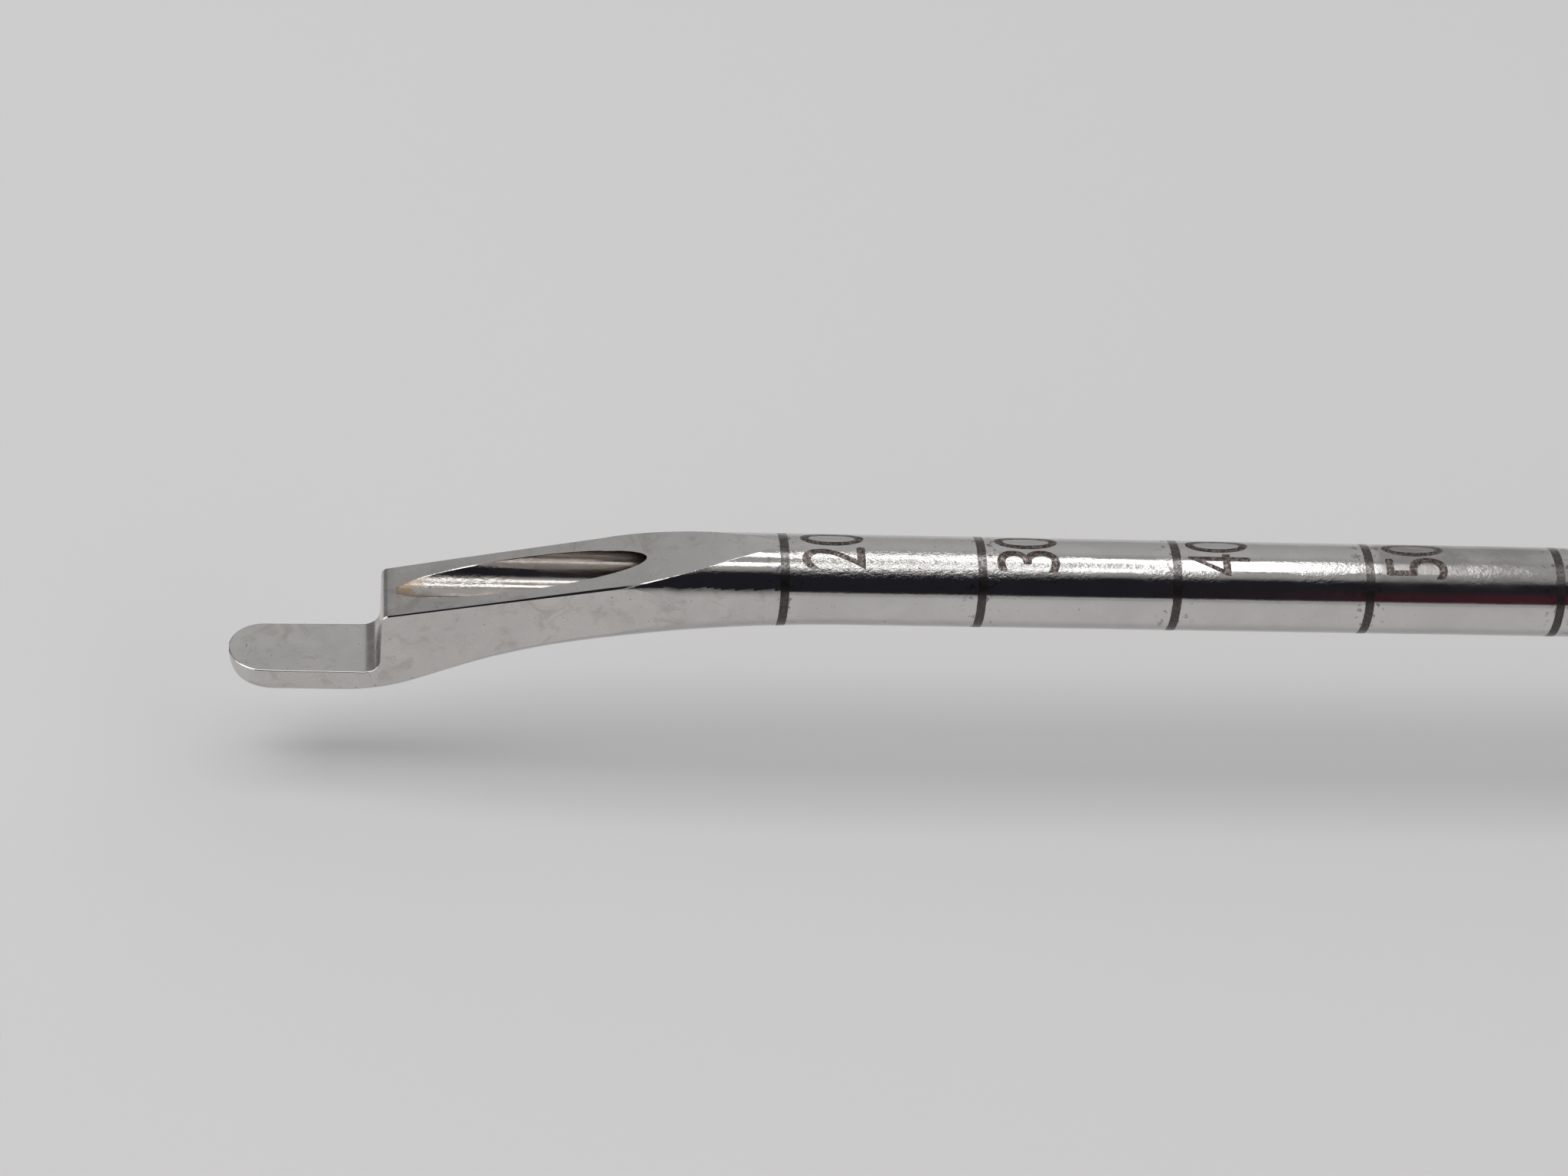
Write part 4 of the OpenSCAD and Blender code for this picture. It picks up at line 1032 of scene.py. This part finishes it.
def head_socket(x, z):
    """Cutters for the hexagon socket of a head at +Y, and for its drill's cone."""
    hexagon, r, depth = bmesh.new(), 1.155, 2.1
    middle = HEAD_FACE - 0.05
    bmesh.ops.create_cone(
        hexagon, cap_ends=True, segments=6, radius1=r, radius2=r, depth=depth,
        matrix=Matrix.Translation((x, middle, z)) @ Matrix.Rotation(pi / 2, 4, "X"))
    floor_y = HEAD_FACE - 1.05
    drill = plug([(0, HEAD_FACE - 1.5), (0.95, floor_y), (0, floor_y)], "Y", (x, 0, z), 24)
    return [hexagon, drill]


def scale_screws():
    """Four screws with their heads at -Y, and four sleeve nuts with theirs at +Y."""
    x, _, z = SCREW_PLACES[0]
    head = (HEAD_R, HEAD_FACE)
    screw_end, nut_end, bore_r = -7.8, -3.95, SCREW_R + SLACK
    screw = turned(
        stepped(screw_end, (SCREW_R, HEAD_SEAT), head), "Y", (x, 0, z), 0.25, 64, closed=False)
    nut = turned(
        [(bore_r, nut_end)] + stepped(nut_end, (SLEEVE_R, HEAD_SEAT), head)[1:]
        + [(0, HEAD_SEAT), (bore_r, HEAD_SEAT)], "Y", (x, 0, z), 0, 64)
    break_edges(nut, 0.25, lambda e: all(v.co.y > HEAD_FACE - 0.01 for v in e.verts), segments=3)
    for node, bm in (("grip_screws", screw), ("grip_sleeve_nuts", nut)):
        bm = joined(bm, head_socket(x, z))
        if node == "grip_screws":
            mirrored(bm)
        stand_in(node, copied(bm, SCREW_PLACES), "bright_steel", bright)


def end_cap():
    """Screwed cap, with its seal's groove and two flats for a spanner."""
    head_r, flat = 9.5, 8.5
    bm = turned([
        (3, CAP_FRONT), (CAP_R - 0.5, CAP_FRONT), (CAP_R, CAP_FRONT + 0.5),
        *seal_groove(CAP_R, BOSS_END - 0.98), (CAP_R, BOSS_END), (head_r, BOSS_END),
        (head_r, CAP_END - 2), (head_r - 0.6, CAP_END - 0.6), (head_r - 2, CAP_END), (3, CAP_END),
    ])
    bm = joined(bm, [box((BOSS_END + 7 / 3, y, -12), (CAP_END + 1, y + 4, 12))
                     for y in (flat, -flat - 4)])
    on_flat = lambda v: abs(abs(v.co.y) - flat) < 0.01
    break_edges(bm, 0.2, lambda e: all(on_flat(v) for v in e.verts), angle=18)
    stand_in("end_cap", bm, "handle_steel", satin)


def pin_bush():
    """Bush with a flange behind the cap and a funnel for the pin."""
    flange_r, chamfer = 4.5, 0.38
    bm = turned([
        (BORE_R, BUSH_FRONT), (BUSH_R, BUSH_FRONT), (BUSH_R, CAP_END), (flange_r, CAP_END),
        (flange_r, TAIL_X - chamfer), (flange_r - chamfer, TAIL_X), (3.2, TAIL_X),
        (BORE_R, TAIL_X - 3),
    ])
    stand_in("pin_bush", bm, "bright_steel", bright)


# --- pin clamp ---

def clamp_nut_bush():
    bore_r, body_r, flange_r, chamfer = M4_R + SLACK, 3.99, 5.5, 0.38
    bm = turned([
        (bore_r, NUT_Z), (body_r, NUT_Z), (body_r, NUT_Z + 5), (flange_r, NUT_Z + 5),
        (flange_r, FLANGE_Z - chamfer), (flange_r - chamfer, FLANGE_Z), (bore_r, FLANGE_Z),
    ], "Z", (CLAMP_X, 0, 0), 0.12)
    stand_in("clamp_nut_bush", bm, "bright_steel", bright)


def clamp_screw():
    """M4 screw, threaded as far as the knob, with the pad's pivot."""
    shank_z, thread_end, pitch, depth, rows = SCREW_Z + 2, KNOB_Z + 0.6, 0.7, 0.38, 150
    thread = [(M4_R, lerp(shank_z + 0.3, thread_end, i / rows)) for i in range(rows + 1)]
    bm = plug(
        [(0, SCREW_Z), (1, SCREW_Z), (1.1, SCREW_Z + 0.1), (1.1, shank_z), (1.7, shank_z)] + thread
        + [(M4_R, SCREW_TOP - 0.2), (M4_R - 0.2, SCREW_TOP), (0, SCREW_TOP)],
        "Z", (CLAMP_X, 0, 0), 48)
    for v in bm.verts:
        if not shank_z + 0.2 < v.co.z < thread_end + 0.05:
            continue
        angle = atan2(v.co.y, v.co.x - CLAMP_X)
        phase = (v.co.z / pitch - angle / (2 * pi)) % 1
        fade = min(1, (thread_end - v.co.z) / pitch)
        share = 1 - depth * fade * (1 - abs(2 * phase - 1)) / M4_R
        v.co.x = CLAMP_X + (v.co.x - CLAMP_X) * share
        v.co.y *= share
    bm = joined(bm, [across(CLAMP_X, PIN_Z, -5, 5, CROSS_HOLE_R, steps=24)])
    stand_in("clamp_screw", bm, "bright_steel", bright, body="knob")


def clamp_knob():
    """Knob with a stem and finger scallops, drilled for the screw and the pin."""
    bore_r, edge_r, head_z = M4_R + 0.01, KNOB_R - 1, KNOB_Z + 4
    bm = turned([
        (bore_r, KNOB_Z), (STEM_R, KNOB_Z), (STEM_R, head_z), (edge_r, head_z),
        (KNOB_R, head_z + 1), (KNOB_R, KNOB_TOP - 1), (edge_r, KNOB_TOP), (2.8, KNOB_TOP),
        (bore_r, KNOB_TOP - 0.5),
    ], "Z", (CLAMP_X, 0, 0), 0.3, 128)
    scallops, scallop_r, circle_r = 8, 2.2, KNOB_R + 1.2
    turns = [2 * pi * (i + 0.5) / scallops for i in range(scallops)]
    bm = joined(bm, [
        post(CLAMP_X + circle_r * cos(a), head_z - 1, KNOB_TOP + 1, scallop_r,
             circle_r * sin(a), 48) for a in turns])
    on_rim = lambda e: (all(v.co.z > head_z - 0.01 for v in e.verts)
                        and hypot(e.verts[0].co.x - CLAMP_X, e.verts[0].co.y) > STEM_R + 0.5)
    break_edges(bm, 0.3, on_rim, angle=25, segments=3)
    bm = joined(bm, [across(CLAMP_X, PIN_Z, -6, 6, CROSS_HOLE_R, steps=32)])
    stand_in("clamp_knob", bm, "collar_steel", knob_finish(), body="knob")


def cross_pin():
    reach, r = span("knob_cross_pin", 1)[1], CROSS_HOLE_R - 0.01
    bm = turned(
        stepped(-reach, (r, reach)), "Y", (CLAMP_X, 0, PIN_Z), 0.12, 32, closed=False)
    stand_in("knob_cross_pin", bm, "bright_steel", bright, body="knob")


satin, bright, wire = satin_steel(), bright_steel(), spring_wire()
for make in (shaft_hub, retaining_ring, lock_collar, collar_spring, handle_core, grips,
             scale_screws, end_cap, pin_bush, clamp_nut_bush, clamp_screw, clamp_knob, cross_pin):
    make()

# Pieces whose solids are right as they are
for finish, nodes in (
        (bright, ("hub_key", "lock_ball_top", "lock_ball_near", "lock_ball_far")),
        (seal_rubber(), ("hub_o_ring", "cap_o_ring")),
        (pad_plastic(), ("clamp_pad",))):
    for held in (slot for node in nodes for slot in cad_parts[node].material_slots):
        held.material = finish


# --- floor, light and camera ---

def floor():
    m = Finish("pale_table", 0.0, 0.2)
    pale = m.done(m.mix(m.noise(0.004, 3), (0.605, 0.597, 0.601), (0.625, 0.617, 0.621)), 0.7)
    bm = bmesh.new()
    bmesh.ops.create_grid(bm, x_segments=1, y_segments=1, size=12)
    mesh_object("table", bm, [pale])


def room():
    """A pale room, as the steel mirrors it.

    It is dimmer behind to the left and brighter at both ends, and has a dark space in front under
    the lamps, reddish low on the right.
    """
    sky = bpy.data.worlds.new("room")
    bpy.context.scene.world = sky
    sky.use_nodes = True
    n = Nodes(sky.node_tree, "Generated")
    height, depth, along = n.axis("Z"), n.axis("Y"), n.axis("X")
    rise = lambda degrees: sin(radians(degrees))
    wall = n.mix(n.ramp(height, rise(5), rise(50)), (0.43, 0.43, 0.43), (0.53, 0.53, 0.53))
    left = n.times(n.ramp(along, -0.10, -0.38), n.ramp(depth, 0.3, 0.6))
    wall = n.mix(left, wall, (0.19, 0.19, 0.19))
    near_left = n.times(n.ramp(along, -0.36, -0.48), n.ramp(depth, 0.1, -0.1))
    wing = n.math("MAXIMUM", n.ramp(along, 0.40, 0.52), near_left)
    wall = n.mix(wing, wall, (1.4, 1.4, 1.4))
    ceiling = n.mix(n.ramp(height, rise(54), rise(64)), wall, (0.42, 0.415, 0.41))
    dark = n.times(n.ramp(height, rise(3), rise(8)), n.ramp(height, rise(66), rise(52)))
    dark = n.times(dark, n.ramp(depth, -0.05, -0.3))
    dark = n.times(dark, n.minus(1, wing))
    red = n.times(n.ramp(along, 0.225, 0.30), n.ramp(height, rise(38), rise(20)))
    shade = n.mix(red, (0.017, 0.017, 0.022), (0.062, 0.017, 0.024))
    n.fill(n.tree.nodes["Background"], Color=n.mix(dark, ceiling, shade), Strength=1.0)


def lamp(name, y, x, brightness):
    """A soft box 0.6 m up, between two places each way."""
    light = bpy.data.lights.new(name, "AREA")
    light.shape = "RECTANGLE"
    light.size = x[1] - x[0]
    light.size_y = y[1] - y[0]
    light.energy = brightness * pi * light.size * light.size_y
    new_object(name, light).location = (sum(x) / 2, sum(y) / 2, LAMP_Z)


def between(low_deg, high_deg):
    """The lamps' reach along Y, between two angles above the shaft's front horizon."""
    return [-LAMP_Z / tan(radians(a)) for a in (low_deg, high_deg)]


def camera():
    """Where the guide was looked at from: 40 degrees above the table, 0.2 m away."""
    yaw, pitch, roll = -0.1578, 0.7008, 0.1195
    data = bpy.data.cameras.new("camera")
    data.sensor_width = 36
    data.lens = 92.26
    data.clip_start = 0.01
    obj = new_object("camera", data)
    obj.matrix_world = Matrix.Translation(
        (STEP_X - 4.173 * MM, -153.568 * MM, AXIS_Z + 130.565 * MM))
    for angle, axis in ((yaw, "Z"), (pi / 2 - pitch, "X"), (roll, "Z")):
        obj.matrix_world = obj.matrix_world @ Matrix.Rotation(angle, 4, axis)
    bpy.context.scene.camera = obj


LAMP_Z = 0.6
floor()
room()
# Angles at which the shaft sees each lamp, its ends along X in metres, and its brightness
lamp("front_lamp", between(71, 80), (-0.6, 0.03), 1.9)
lamp("back_lamp", between(96, 107), (-0.6, 0.07), 2.3)
lamp("end_lamp", between(80, 96), (0.022, 0.07), 2.3)
lamp("side_lamp", between(80, 96), (-0.6, -0.24), 3.1)
camera()
bpy.context.scene.view_settings.view_transform = "Standard"
